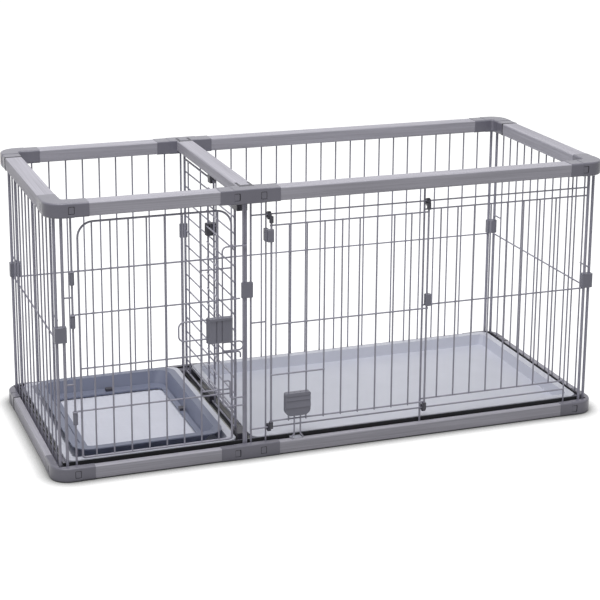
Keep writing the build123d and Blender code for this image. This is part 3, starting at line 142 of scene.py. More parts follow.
LOOP_HIGH_Z = 262 * MM
LOOP_LOW_Z = 243 * MM
LOOP_BEND = 9 * MM
DIVIDER_INNER_BAY = 32 * MM
DIVIDER_TOP_OVER_FOOT = 515.75 * MM  # from the foot bar's top to the axis of the top wire
ROWS = 14
ROW_LOW_Z = 53 * MM
ROW_HIGH_Z = 514.5 * MM
LEAF_OVERSHOOT = 5 * MM


# ------------------------------------------------------------------ wire geometry
def rounded(points, bend, closed):
    """The points of a bent wire's line, with an arc at each bend."""
    corners = [Vector(p) for p in points]
    count = len(corners)
    line = []
    for i, corner in enumerate(corners):
        if not closed and i in (0, count - 1):
            line.append(corner)
            continue
        before = (corners[i - 1] - corner).normalized()
        after = (corners[(i + 1) % count] - corner).normalized()
        half = before.angle(after) / 2
        reach = bend / math.tan(half)
        centre = corner + (before + after).normalized() * (bend / math.sin(half))
        start = corner + before * reach - centre
        axis = start.cross(corner + after * reach - centre).normalized()
        turn = math.pi - 2 * half
        for step in range(ARC_STEPS + 1):
            line.append(centre + Matrix.Rotation(turn * step / ARC_STEPS, 3, axis) @ start)
    return line


def domed(end, inner, radius):
    """The points and radii of a wire's domed end, from its tip inwards."""
    inward = (inner - end).normalized()
    return [(end + inward * radius * (1 - math.cos(a)), radius * math.sin(a)) for a in DOME]


def add_wire(curve, points, diameter, bend=0.0, closed=False):
    """Adds one wire to a curve; an open wire gets domed ends."""
    radius = diameter / 2
    line = rounded(points, bend, closed) if bend else [Vector(p) for p in points]
    widths = [radius] * len(line)
    if not closed:
        head = domed(line[0], line[1], radius)
        tail = domed(line[-1], line[-2], radius)[::-1]
        line = [p for p, _ in head] + line[1:-1] + [p for p, _ in tail]
        widths = [w for _, w in head] + widths[1:-1] + [w for _, w in tail]
    spline = curve.splines.new("POLY")
    spline.points.add(len(line) - 1)
    for point, place, width in zip(spline.points, line, widths):
        point.co = (*place, 1)
        point.radius = width
    spline.use_cyclic_u = closed
    spline.use_smooth = True


def ring(centre, radius, axis):
    """The points of a round eye about one axis."""
    units = [Vector(v) for v in ((1, 0, 0), (0, 1, 0), (0, 0, 1))]
    first, second = units[(axis + 1) % 3], units[(axis + 2) % 3]
    turns = [math.tau * i / RING_STEPS for i in range(RING_STEPS)]
    return [Vector(centre) + radius * (math.cos(a) * first + math.sin(a) * second) for a in turns]


def upright(x, y, z0, z1, diameter=MESH_WIRE):
    """A straight wire along Z: its points and its diameter."""
    return [(x, y, z0), (x, y, z1)], diameter


def across(x0, x1, y, z, diameter=MESH_WIRE):
    """A straight wire along X."""
    return [(x0, y, z), (x1, y, z)], diameter


def deep(x, y0, y1, z, diameter=MESH_WIRE):
    """A straight wire along Y."""
    return [(x, y0, z), (x, y1, z)], diameter


def turned(runs):
    """Wires laid out along X on the plane Y = 0, turned to lie along Y."""
    return [([(p[1], p[0], p[2]) for p in points], *rest) for points, *rest in runs]


def moved(runs, shift):
    """The same wires, shifted."""
    return [([Vector(p) + Vector(shift) for p in points], *rest) for points, *rest in runs]


def wire_piece(name, node, runs, material):
    """A curve object of round wires that stands for a CAD node."""
    curve = bpy.data.curves.new(name, "CURVE")
    curve.dimensions = "3D"
    curve.bevel_depth = 1.0
    curve.bevel_resolution = WIRE_SIDES
    curve.use_fill_caps = True
    for run in runs:
        add_wire(curve, *run)
    piece = bpy.data.objects.new(name, curve)
    bpy.context.scene.collection.objects.link(piece)
    curve.materials.append(material)
    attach(piece, nodes[node]["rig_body"])
    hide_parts(node)
    return piece


# ------------------------------------------------------------------ where the wires are
tee_x = sum(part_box("striker_post")[i].x for i in (0, 1)) / 2 + STRIKER_FROM_TEE
stile_low, stile_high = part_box("hinge_stile")
foot_z, head_z = stile_low.z, stile_high.z
low_z, high_z = foot_z + BORDER_WIRE / 2, head_z - BORDER_WIRE / 2
front_y = (stile_low.y + stile_high.y) / 2
left_x = stile_low.x + END_POST / 2
hinge_x = stile_high.x - BORDER_WIRE / 2
striker_x = tee_x - STRIKER_FROM_TEE


def wall(name, bays, along, inward):
    """A wall panel's wires from its CAD box; its outer plane is away from inward."""
    low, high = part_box(name)
    start, end = low[along], high[along]
    cross = 1 - along
    plane = low[cross] + END_POST / 2 if inward > 0 else high[cross] - END_POST / 2
    post_ends = [END_POST, END_POST]
    if name == "back_left_panel":
        post_ends[1] = BORDER_WIRE
    if name == "back_right_panel":
        post_ends[0] = BORDER_WIRE
    start += post_ends[0] / 2
    end -= post_ends[1] / 2
    pitch = (end - start) / bays
    runs = [
        upright(start, 0, foot_z, head_z, post_ends[0]),
        upright(end, 0, foot_z, head_z, post_ends[1]),
        across(start, end, 0, low_z, BORDER_WIRE),
        across(start, end, 0, high_z, BORDER_WIRE),
        across(start, end, inward * LAP, MID_WIRE_Z),
    ]
    runs += [upright(start + i * pitch, 0, low_z, high_z) for i in range(1, bays)]
    if along == 1:
        runs.append(across(start, start + pitch, inward * LAP, SIDE_LINK_Z))
        runs.append(across(end, end - pitch, inward * LAP, SIDE_LINK_Z))
        return moved(turned(runs), (plane, 0, 0))
    return moved(runs, (0, plane, 0))


def doorway_wall():
    """The fixed wall round the sliding door."""
    low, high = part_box("front_right_panel")
    first, last = low.x + BORDER_WIRE / 2, high.x - END_POST / 2
    left = tee_x + DOORWAY_FROM_TEE
    right = left + DOORWAY_WIDTH
    pitch = (last - right) / WINDOW_BAYS
    near_last = last - pitch
    runs = [
        upright(first, 0, foot_z, head_z, BORDER_WIRE),
        upright(left, 0, low_z, high_z),
        upright(right, 0, low_z, high_z, BORDER_WIRE),
        upright(near_last, 0, low_z, high_z),
        upright(last, 0, foot_z, head_z, END_POST),
        across(first, last, 0, low_z, BORDER_WIRE),
        across(first, last, 0, high_z, BORDER_WIRE),
        across(first, last, -TRACK_LAP, TRACK_HIGH_Z),
        across(first, near_last, -TRACK_LAP, TRACK_LOW_Z),
        across(right, last, LAP, WINDOW_HIGH_Z),
        across(right, near_last, LAP, WINDOW_LOW_Z),
        across(right, last, LAP, MID_WIRE_Z),
        across(first, left, LAP, MID_WIRE_Z),
    ]
    for i in range(1, WINDOW_BAYS - 1):
        runs.append(upright(right + i * pitch, 0, WINDOW_LOW_Z, WINDOW_HIGH_Z))
    return moved(runs, (0, front_y, 0))


def stile():
    """The hinge side of the swing door, fixed to the pen."""
    runs = [
        upright(left_x, 0, foot_z, head_z, END_POST),
        upright(hinge_x, 0, foot_z, head_z, BORDER_WIRE),
        across(left_x, hinge_x, 0, low_z, BORDER_WIRE),
        across(left_x, hinge_x, 0, high_z, BORDER_WIRE),
    ]
    runs += [across(left_x, hinge_x, 0, z) for z in STILE_LINKS]
    return moved(runs, (0, front_y, 0))


finger_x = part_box("swing_door")[1].x - MESH_WIRE / 2
door_right_x = finger_x - FINGER_REACH
door_left_x = hinge_x + DOOR_FROM_HINGE
door_low_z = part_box("swing_door")[0].z + BORDER_WIRE / 2
door_high_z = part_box("swing_door")[1].z - BORDER_WIRE / 2
bolt_out = LAP + MESH_WIRE + SEAT
bolt_low_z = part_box("latch_bolt")[0].z + MESH_WIRE / 2
bolt_high_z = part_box("latch_bolt")[1].z - MESH_WIRE / 2


def framed(x0, x1, z0, z1):
    """A closed border whose two upper corners have the larger bend."""
    low_bend, top_bend = DOOR_LOW_BEND, DOOR_TOP_BEND
    corners = [(x0, 0, z0), (x1, 0, z0), (x1, 0, z1), (x0, 0, z1)]
    points = []
    for i, bend in enumerate((low_bend, low_bend, top_bend, top_bend)):
        points += rounded([corners[i - 1], corners[i], corners[(i + 1) % 4]], bend, False)[1:-1]
    return points, BORDER_WIRE, 0, True


def door_wires():
    """The swing door with its hinge eyes, finger, runner and bolt guides."""
    eye = BORDER_WIRE / 2 + FIT + MESH_WIRE / 2
    pitch = (door_right_x - door_left_x - 2 * DOOR_EDGE_BAY) / (DOOR_UPRIGHTS - 1)
    first = door_left_x + DOOR_EDGE_BAY
    runs = [framed(door_left_x, door_right_x, door_low_z, door_high_z)]
    runs += [upright(first + i * pitch, 0, door_low_z, door_high_z) for i in range(DOOR_UPRIGHTS)]
    for i, z in enumerate(EYE_HEIGHTS):
        runs.append((ring((hinge_x, 0, z), eye, 2), MESH_WIRE, 0, True))
        runs.append(across(hinge_x + eye, finger_x if i == FINGER_EYE else door_right_x, LAP, z))
    high, low = DOOR_REST_Z, DOOR_REST_Z - FINGER_DROP
    finger = [(door_left_x, LAP, high), (finger_x, LAP, high), (finger_x, LAP, low)]
    runs.append((finger, MESH_WIRE, SMALL_BEND))
    x = door_right_x - RUNNER_LENGTH
    y, end = -LAP, door_right_x
    high, low = RUNNER_HIGH_Z, RUNNER_LOW_Z
    runner = [(end, y, high), (x, y, high), (x, y, low), (end, y, low)]
    runs.append((runner, MESH_WIRE, RUNNER_BEND))
    runs += [across(door_right_x - BRACE_LENGTH, door_right_x, LAP, z) for z in BRACES]
    guide = MESH_WIRE / 2 + FIT + EYE_WIRE / 2
    for z in (bolt_high_z, SPUR_LOW_Z, bolt_low_z):
        runs.append((ring((door_right_x, -bolt_out, z), guide, 0), EYE_WIRE, 0, True))
    return moved(runs, (0, front_y, 0))


def bolt_wires():
    """The latch's bent bolt, its spur and its pull loop."""
    x = door_right_x - BOLT_INSET
    spur = door_right_x - SPUR_INSET
    reach = striker_x - BOLT_BEFORE_STRIKER
    y = -bolt_out
    top = striker_x + BOLT_OVER_STRIKER
    high, low = bolt_high_z, bolt_low_z
    main = [(top, y, high), (x, y, high), (x, y, low), (reach, y, low)]
    high, low = SPUR_HIGH_Z, SPUR_LOW_Z
    side = [(x, y, high), (spur, y, high), (spur, y, low), (reach, y, low)]
    high, low = LOOP_HIGH_Z, LOOP_LOW_Z
    loop = [(x, y, high), (reach, y, high), (reach, y, low), (x, y, low)]
    bends = ((main, BOLT_BEND), (side, SMALL_BEND), (loop, LOOP_BEND))
    runs = [(points, MESH_WIRE, bend) for points, bend in bends]
    return moved(runs, (0, front_y, 0))


slide_low, slide_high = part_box("sliding_door")
slider_y = slide_low.y + LAP + MESH_WIRE / 2


def slider_wires():
    """The sliding door's grille."""
    left, right = slide_low.x, slide_high.x
    first, last = left + OVERSHOOT, right - OVERSHOOT
    pitch = (last - first) / SLIDER_BAYS
    runs = [
        upright(first, 0, slide_low.z, slide_high.z, BORDER_WIRE),
        upright(last, 0, slide_low.z, slide_high.z, BORDER_WIRE),
        across(left, right, LAP, SLIDER_LOW_Z),
        across(left, right, LAP, SLIDER_HIGH_Z),
        across(left, right, -LAP, SLIDER_MID_Z),
        across(left, first + SLIDER_STOP_LENGTH, -LAP, SLIDER_STOP_Z),
    ]
    low, high = SLIDER_LOW_Z - OVERSHOOT, SLIDER_HIGH_Z + OVERSHOOT
    runs += [upright(first + i * pitch, 0, low, high) for i in range(1, SLIDER_BAYS)]
    return moved(runs, (0, slider_y, 0))


def prong_wires():
    """The two prongs under the lock block, with their flared feet."""
    low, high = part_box("lock_prongs")
    middle = (low.x + high.x) / 2
    y = (low.y + high.y) / 2
    foot = low.z + MESH_WIRE / 2
    runs = []
    for side in (-1, 1):
        x = middle + side * PRONG_SPACING / 2
        tip = x + side * PRONG_FLARE
        points = [(x, y, high.z), (x, y, foot + PRONG_FLARE_HEIGHT), (tip, y, foot)]
        runs.append((points, MESH_WIRE, MESH_WIRE))
    return runs


row_heights = [ROW_LOW_Z + i * (ROW_HIGH_Z - ROW_LOW_Z) / (ROWS - 1) for i in range(ROWS)]


def divider_wires():
    """The divider's fixed part."""
    low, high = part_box("divider_panel")
    x = low.x + BORDER_WIRE / 2
    front, back = low.y + BORDER_WIRE / 2, high.y - BORDER_WIRE / 2
    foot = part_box("divider_foot_bar")[1].z
    top = foot + DIVIDER_TOP_OVER_FOOT
    runs = [
        upright(x, back, low.z, high.z, BORDER_WIRE),
        upright(x, back - DIVIDER_INNER_BAY, foot, top),
        ([(x, back, top), (x, front, top), (x, front, foot)], BORDER_WIRE, SMALL_BEND),
    ]
    return runs + [deep(x + TRACK_LAP, front, back, z) for z in row_heights]


def leaf_wires():
    """The divider's own door, without its pivot post."""
    low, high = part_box("divider_leaf")
    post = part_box("leaf_post")
    x, y = (post[0].x + post[1].x) / 2, (post[0].y + post[1].y) / 2
    rear = high.y - BORDER_WIRE / 2
    bottom, top = low.z + BORDER_WIRE / 2, high.z - BORDER_WIRE / 2
    border = [(x, y, bottom), (x, rear, bottom), (x, rear, top), (x, y, top)]
    runs = [(border, BORDER_WIRE, SMALL_BEND)]
    for z in row_heights:
        if bottom + BORDER_WIRE < z < top - BORDER_WIRE:
            runs.append(deep(x - TRACK_LAP, y - LEAF_OVERSHOOT, rear, z))
    return runs


def straight(name, diameter):
    """The one straight wire that a CAD node is."""
    low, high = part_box(name)
    x, y, z = (low + high) / 2
    if high.z - low.z > high.y - low.y:
        return [upright(x, y, low.z, high.z, diameter)]
    return [deep(x, low.y, high.y, z, diameter)]


def wire_runs():
    """Every wire node's runs."""
    return {
        "left_panel": wall("left_panel", SIDE_BAYS, 1, 1),
        "right_panel": wall("right_panel", SIDE_BAYS, 1, -1),
        "back_left_panel": wall("back_left_panel", BACK_LEFT_BAYS, 0, -1),
        "back_right_panel": wall("back_right_panel", BACK_RIGHT_BAYS, 0, -1),
        "front_right_panel": doorway_wall(),
        "hinge_stile": stile(),
        "swing_door": door_wires(),
        "latch_bolt": bolt_wires(),
        "sliding_door": slider_wires(),
        "lock_prongs": prong_wires(),
        "divider_panel": divider_wires(),
        "divider_foot_bar": straight("divider_foot_bar", BORDER_WIRE),
        "divider_leaf": leaf_wires(),
        "leaf_post": straight("leaf_post", PIVOT_POST),
    }


# ------------------------------------------------------------------ materials
CLOUD_SCALE = 14  # broad tone of moulded plastic
MOULD_DETAIL = 3
MOULD_RELIEF = 0.4 * MM
ROUGHNESS_SPREAD = 0.06
FINE_GRAIN = 420
FINE_GRAIN_DRAW = 0.012  # stretch along the rail
BROAD_GRAIN = 70
BROAD_GRAIN_DRAW = 0.03
BROAD_SHARE = 0.35
GRAIN_RELIEF = 0.5 * MM
GRAIN_TONES = (0.82, 1.10)
GRAIN_ROUGHNESS = (0.62, 0.42)
COAT_CLOUD = 60
COAT_PEEL = 900
COAT_RELIEF = 0.2 * MM
COAT_TONES = (0.93, 1.07)
COAT_ROUGHNESS = (0.28, 0.42)


def new_material(name):
    """A material with its node tree and its shader."""
    material = bpy.data.materials.new(name)
    material.use_nodes = True
    tree = material.node_tree
    shader = next(n for n in tree.nodes if n.type == "BSDF_PRINCIPLED")
    return material, tree, shader


def node(tree, kind, **values):
    """A new shader node; each value goes to the input or the property of that name."""
    made = tree.nodes.new(kind)
    for key, value in values.items():
        if key in made.inputs:
            made.inputs[key].default_value = value
        else:
            setattr(made, key, value)
    return made


def noise(tree, stretch, scale, detail=4.0):
    """Noise in the object's own coordinates, stretched by a factor along each axis."""
    place = node(tree, "ShaderNodeTexCoord")
    mapping = node(tree, "ShaderNodeMapping", Scale=stretch)
    texture = node(tree, "ShaderNodeTexNoise", Scale=scale, Detail=detail)
    tree.links.new(place.outputs["Object"], mapping.inputs["Vector"])
    tree.links.new(mapping.outputs["Vector"], texture.inputs["Vector"])
    return texture.outputs["Fac"]


def ramp(tree, source, low, high, low_at=0.3, high_at=0.7):
    """A colour that runs from low to high as the source does."""
    made = node(tree, "ShaderNodeValToRGB")
    made.color_ramp.elements[0].position = low_at
    made.color_ramp.elements[1].position = high_at
    made.color_ramp.elements[0].color = (*low, 1)
    made.color_ramp.elements[1].color = (*high, 1)
    tree.links.new(source, made.inputs["Fac"])
    return made.outputs["Color"]


def remap(tree, source, low, high):
    """A number that runs from low to high as the source runs from 0 to 1."""
    made = node(tree, "ShaderNodeMapRange")
    made.inputs["To Min"].default_value = low
    made.inputs["To Max"].default_value = high
    tree.links.new(source, made.inputs["Value"])
    return made.outputs["Result"]


def bump(tree, shader, source, strength, distance):
    """Fine relief on a shader's surface."""
    made = node(tree, "ShaderNodeBump", Strength=strength, Distance=distance)
    tree.links.new(source, made.inputs["Height"])
    tree.links.new(made.outputs["Normal"], shader.inputs["Normal"])


def shade(colour, factor):
    """A colour made darker or lighter."""
    return tuple(c * factor for c in colour)


def moulded(name, colour, roughness, grain, strength, spread=0.06):
    """Injection-moulded plastic with a fine spark-eroded face."""
    material, tree, shader = new_material(name)
    cloud = noise(tree, (1, 1, 1), CLOUD_SCALE)
    colour_out = ramp(tree, cloud, shade(colour, 1 - spread), shade(colour, 1 + spread))
    tree.links.new(colour_out, shader.inputs["Base Color"])
    fine = noise(tree, (1, 1, 1), grain, MOULD_DETAIL)
    rough_out = remap(tree, fine, roughness - ROUGHNESS_SPREAD, roughness + ROUGHNESS_SPREAD)
    tree.links.new(rough_out, shader.inputs["Roughness"])
    bump(tree, shader, fine, strength, MOULD_RELIEF)
    return material


def grained(name, colour, along):
    """Vinyl-faced rail with a fine wood grain along one axis."""
    material, tree, shader = new_material(name)
    fine_stretch = [1.0, 1.0, 1.0]
    fine_stretch[along] = FINE_GRAIN_DRAW
    broad_stretch = [1.0, 1.0, 1.0]
    broad_stretch[along] = BROAD_GRAIN_DRAW
    fine = noise(tree, fine_stretch, FINE_GRAIN, 5)
    broad = noise(tree, broad_stretch, BROAD_GRAIN, 3)
    blend = node(tree, "ShaderNodeMix", data_type="FLOAT")
    blend.inputs[0].default_value = BROAD_SHARE
    tree.links.new(fine, blend.inputs[2])
    tree.links.new(broad, blend.inputs[3])
    grain = blend.outputs[0]
    low, high = [shade(colour, tone) for tone in GRAIN_TONES]
    colour_out = ramp(tree, grain, low, high, 0.36, 0.62)
    tree.links.new(colour_out, shader.inputs["Base Color"])
    tree.links.new(remap(tree, grain, *GRAIN_ROUGHNESS), shader.inputs["Roughness"])
    bump(tree, shader, grain, 0.35, GRAIN_RELIEF)
    return material


def powder_coat(name, colour):
    """Painted wire with a faint orange peel."""
    material, tree, shader = new_material(name)
    cloud = noise(tree, (1, 1, 1), COAT_CLOUD)
    low, high = [shade(colour, tone) for tone in COAT_TONES]
    tree.links.new(ramp(tree, cloud, low, high), shader.inputs["Base Color"])
    peel = noise(tree, (1, 1, 1), COAT_PEEL, 2)
    tree.links.new(remap(tree, peel, *COAT_ROUGHNESS), shader.inputs["Roughness"])
    bump(tree, shader, peel, 0.25, COAT_RELIEF)
    return material


RAIL = (0.46, 0.45, 0.51)
CONNECTOR = (0.20, 0.195, 0.24)
WIRE = (0.36, 0.355, 0.43)
GREY = (0.22, 0.22, 0.27)
DARK = (0.055, 0.053, 0.07)
# painted shade: the near-black of the bars that stand for shade in the pen's gaps, seams and grooves
GAP_SHADE = (0.014, 0.014, 0.018)
TRAY = (0.66, 0.675, 0.76)
TOILET = (0.20, 0.22, 0.31)
PAD = (0.76, 0.775, 0.87)

rail_along_x = grained("rail_grain_x", RAIL, 0)
rail_along_y = grained("rail_grain_y", RAIL, 1)
finishes = {
    "connector": moulded("connector_plastic", CONNECTOR, 0.3, 1400, 0.15),
    "wire": powder_coat("wire_powder_coat", WIRE),
    "grey_plastic": moulded("grey_plastic", GREY, 0.4, 1600, 0.2),
    "dark_plastic": moulded("dark_plastic", DARK, 0.4, 1600, 0.2),
    # painted shade: finish of the dark bars put where the pen's gaps and grooves lie in shade
    "gap": moulded("gap_shade_black", GAP_SHADE, 0.7, 1600, 0.2),
    "tray": moulded("tray_plastic", TRAY, 0.34, 900, 0.12, 0.025),
    "toilet": moulded("toilet_plastic", TOILET, 0.36, 900, 0.12, 0.05),
    "pad": moulded("pad_sheet", PAD, 0.8, 1200, 0.5, 0.03),
}


def dress_frame():
    """Gives each CAD node its finish and soft edges."""
    slots = {p["node"]: p["material_slot"] for p in frame["record"]["subparts"]}
    for name, piece in nodes.items():
        slot = slots[name]
        if slot == "rail":
            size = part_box(name)[1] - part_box(name)[0]
            finish = rail_along_x if size.x > size.y else rail_along_y
        else:
            finish = finishes[slot]
        piece.data.materials.clear()
        piece.data.materials.append(finish)
        if slot != "wire":
            soften(piece)


def smoothing():
    """A node group that shades a mesh smooth except across its sharp edges."""
    group = bpy.data.node_groups.new("smooth_by_angle", "GeometryNodeTree")
    group.interface.new_socket("Geometry", in_out="INPUT", socket_type="NodeSocketGeometry")
    group.interface.new_socket("Geometry", in_out="OUTPUT", socket_type="NodeSocketGeometry")
    start = group.nodes.new("NodeGroupInput")
    end = group.nodes.new("NodeGroupOutput")
    faces = group.nodes.new("GeometryNodeSetShadeSmooth")
    edges = group.nodes.new("GeometryNodeSetShadeSmooth")
    edges.domain = "EDGE"
    edges.inputs["Shade Smooth"].default_value = False
    angle = group.nodes.new("GeometryNodeInputMeshEdgeAngle")
    sharp = group.nodes.new("FunctionNodeCompare")
    sharp.operation = "GREATER_THAN"
    sharp.inputs[1].default_value = SHARP
    group.links.new(start.outputs[0], faces.inputs["Geometry"])
    group.links.new(faces.outputs[0], edges.inputs["Geometry"])
    group.links.new(angle.outputs["Unsigned Angle"], sharp.inputs[0])
    group.links.new(sharp.outputs[0], edges.inputs["Selection"])
    group.links.new(edges.outputs[0], end.inputs[0])
    return group


SHARP = math.radians(38)
EDGE = 0.6 * MM
WELD_REACH = 0.01 * MM
smooth_group = smoothing()


def soften(piece):
    """Rounds the moulded edges of a CAD node and shades its curves smooth."""
    weld = piece.modifiers.new("weld", "WELD")
    weld.merge_threshold = WELD_REACH
    edge = piece.modifiers.new("edge", "BEVEL")
    edge.width = EDGE
    edge.segments = 2
    edge.limit_method = "ANGLE"
    edge.angle_limit = SHARP
    shade_smooth = piece.modifiers.new("smooth", "NODES")
    shade_smooth.node_group = smooth_group
    piece.modifiers.new("normals", "WEIGHTED_NORMAL").keep_sharp = True


dress_frame()
for name, runs in wire_runs().items():
    wire_piece(f"{name}_wires", name, runs, finishes["wire"])

# ------------------------------------------------------------------ toilet pad
PAD_CORNER = 24 * MM
PAD_THICK = 1.6 * MM
PAD_EMBOSS = 0.5 * MM
PAD_CELL = 13 * MM
PAD_STEP = 2.2 * MM


def pad_sheet():
    """The absorbent sheet: thin, rounded at its corners and embossed in small diamonds."""
    low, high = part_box("toilet_pad")
    middle = (low + high) / 2
    half_x, half_y = (high.x - low.x) / 2, (high.y - low.y) / 2
    across_count = round(2 * half_x / PAD_STEP)
    along_count = round(2 * half_y / PAD_STEP)
    bm = bmesh.new()
    layers = []
    for top in (False, True):
        layer = []
        for i in range(across_count + 1):
            u = 2 * i / across_count - 1
            for j in range(along_count + 1):
                v = 2 * j / along_count - 1
                x, y = rounded_place(u * half_x, v * half_y, half_x, half_y)
                one, other = math.pi * (x + y) / PAD_CELL, math.pi * (x - y) / PAD_CELL
                emboss = math.cos(one) * math.cos(other)
                z = low.z + (PAD_THICK + PAD_EMBOSS * emboss * abs(emboss) if top else 0)
                layer.append(bm.verts.new((middle.x + x, middle.y + y, z)))
        layers.append(layer)
    width = along_count + 1
    for top, layer in enumerate(layers):
        for i in range(across_count):
            for j in range(along_count):
                here, there = i * width + j, (i + 1) * width + j
                corners = [here, there, there + 1, here + 1]
                if not top:
                    corners.reverse()
                bm.faces.new([layer[c] for c in corners])
    border = [i * width for i in range(across_count + 1)]
    border += [across_count * width + j for j in range(1, along_count + 1)]
    border += [i * width + along_count for i in range(across_count - 1, -1, -1)]
    border += [j for j in range(along_count - 1, 0, -1)]
    under, over = layers
    for here, there in zip(border, border[1:] + border[:1]):
        bm.faces.new((under[here], under[there], over[there], over[here]))
    mesh = bpy.data.meshes.new("pad_sheet")
    bm.to_mesh(mesh)
    bm.free()
    mesh.polygons.foreach_set("use_smooth", [True] * len(mesh.polygons))
    piece = bpy.data.objects.new("pad_sheet", mesh)
    bpy.context.scene.collection.objects.link(piece)
    mesh.materials.append(finishes["pad"])
    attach(piece, nodes["toilet_pad"]["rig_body"])
    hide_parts("toilet_pad")


def rounded_place(x, y, half_x, half_y):
    """Pulls a point of a rectangle in so that the rectangle's corners come out round."""
    over_x = abs(x) - (half_x - PAD_CORNER)
    over_y = abs(y) - (half_y - PAD_CORNER)
    if over_x <= 0 or over_y <= 0:
        return x, y
    share = max(over_x, over_y) / math.hypot(over_x, over_y)
    inner_x = abs(x) - over_x
    inner_y = abs(y) - over_y
    return math.copysign(inner_x + over_x * share, x), math.copysign(inner_y + over_y * share, y)


pad_sheet()

# ------------------------------------------------------------------ dark bars of painted shade at seams, in grooves and in gaps
SEAM_SHADE_PROUD = 0.6 * MM
SEAM_SHADE_WIDTH = 2.8 * MM
STRIP_THICK = 0.8 * MM
STRIP_GAP = 0.8 * MM  # between a strip and the tray beside it
STRIP_BELOW_RIM = 1.6 * MM
STRIP_FOOT = 2.0 * MM  # the strip's foot, above the wires' feet
FOOT_SHADE_WIDTH = 15 * MM
FOOT_SHADE_THICK = 2.0 * MM
STRIP_EDGE = 0.3 * MM
CONNECTOR_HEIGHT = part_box("bottom_tee_front")[1].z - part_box("bottom_tee_front")[0].z
WINDOW_WIDTH = 13 * MM  # window for a snap peg, in a connector
WINDOW_HEIGHT = 16 * MM
WINDOW_DEPTH = 3 * MM
WINDOW_FROM_SLEEVE = 36 * MM  # from the connector's end to the window's middle
PEG_RECESS = 0.6 * MM
CROSS_LATCH_ARM = 24 * MM
LATCH_GAP = 0.7 * MM


def shade_bar(name, low, high, edge):
    """A dark bar of painted shade with rounded edges between two corners, fixed to the pen."""
    low, high = Vector(low), Vector(high)
    bm = bmesh.new()
    bmesh.ops.create_cube(bm, size=1.0)
    for v in bm.verts:
        v.co = [(low[i] + high[i]) / 2 + v.co[i] * (high[i] - low[i]) for i in range(3)]
    bmesh.ops.bevel(bm, geom=bm.edges[:], offset=edge, segments=3, profile=0.5, affect="EDGES")
    mesh = bpy.data.meshes.new(name)
    bm.to_mesh(mesh)
    bm.free()
    mesh.materials.append(finishes["gap"])
    piece = bpy.data.objects.new(name, mesh)
    bpy.context.scene.collection.objects.link(piece)
    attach(piece, "pen")


def seam_shade(rail, mouth):
    """A dark band of painted shade round the back end of a rail along Y, on either side of the plane Y
    = mouth, where the rail meets its connector.
    """
    low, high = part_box(rail)
    proud = Vector((SEAM_SHADE_PROUD, 0, SEAM_SHADE_PROUD))
    low, high = low - proud, high + proud
    low.y, high.y = mouth - SEAM_SHADE_WIDTH, mouth + SEAM_SHADE_WIDTH
    shade_bar(rail + "_seam", low, high, SEAM_SHADE_WIDTH / 3)


for ring_name in ("bottom", "top"):
    for side in ("left", "right"):
        seam_shade(f"{ring_name}_rail_{side}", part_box(f"{ring_name}_corner_back_{side}")[0].y)


def groove_shade_strips():
    """Dark strips of painted shade that stand in the lower ring's groove, between the wires and the
    trays, where the trays' rims shade the groove.
    """
    left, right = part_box("left_tray"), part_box("right_tray")
    bottom = foot_z + STRIP_FOOT
    top = left[1].z - STRIP_BELOW_RIM
    inner_y = right[1].y + STRIP_GAP
    side_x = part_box("right_panel")[0].x - STRIP_GAP
    outer_y = inner_y + STRIP_THICK
    for name, sign in (("front", -1), ("back", 1)):
        near, far = sorted((sign * inner_y, sign * outer_y))
        shade_bar(f"groove_shade_strip_{name}", (-side_x, near, bottom), (side_x, far, top), STRIP_EDGE)
    for name, sign in (("left", -1), ("right", 1)):
        near, far = sorted((sign * side_x, sign * (side_x - STRIP_THICK)))
        shade_bar(f"groove_shade_strip_{name}", (near, -inner_y, bottom), (far, inner_y, top), STRIP_EDGE)


def foot_gap_shade():
    """A dark strip of painted shade under the divider's foot bar that closes the gap between the
    trays.
    """
    low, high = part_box("divider_foot_bar")
    x = (low.x + high.x) / 2
    top = low.z - STRIP_BELOW_RIM
    corner = (x - FOOT_SHADE_WIDTH / 2, low.y, top - FOOT_SHADE_THICK)
    shade_bar("divider_foot_shade", corner, (x + FOOT_SHADE_WIDTH / 2, high.y, top), STRIP_EDGE)


def window_shadow(name, x, face_y, bottom):
    """A dark bar of painted shadow in the gap round a snap peg in a connector's window, whose face
    lies on Y = face_y.
    """
    inward = -math.copysign(1, face_y)
    near, far = sorted((face_y + inward * 1.5 * PEG_RECESS, face_y + inward * (WINDOW_DEPTH - FIT)))
    half, tall = WINDOW_WIDTH / 2 - FIT, WINDOW_HEIGHT / 2 - FIT
    z = bottom + CONNECTOR_HEIGHT / 2
    shade_bar(name, (x - half, near, z - tall), (x + half, far, z + tall), STRIP_EDGE)


def window_shadows():
    """One bar of painted shadow in each window of the front and back connectors."""
    for ring_name in ("bottom", "top"):
        for face in ("front", "back"):
            places = {f"corner_{face}_left": (1,), f"corner_{face}_right": (0,), f"tee_{face}": (0, 1)}
            for place, ends in places.items():
                connector = f"{ring_name}_{place}"
                low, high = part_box(connector)
                for end in ends:
                    x = high.x - WINDOW_FROM_SLEEVE if end else low.x + WINDOW_FROM_SLEEVE
                    y = low.y if face == "front" else high.y
                    window_shadow(f"{connector}_window_{end}", x, y, low.z)


def latch_shadows():
    """Dark bars of painted shadow in the gaps round the two latches in the top of the cross rail."""
    low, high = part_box("cross_rail_latches")
    top = high.z - STRIP_THICK
    for name, near in (("front", low.y), ("back", high.y - CROSS_LATCH_ARM)):
        far = near + CROSS_LATCH_ARM
        corner = (low.x - LATCH_GAP, near - LATCH_GAP, low.z)
        other = (high.x + LATCH_GAP, far + LATCH_GAP, top)
        shade_bar(f"latch_gap_shade_{name}", corner, other, STRIP_EDGE)


groove_shade_strips()
foot_gap_shade()
window_shadows()
latch_shadows()

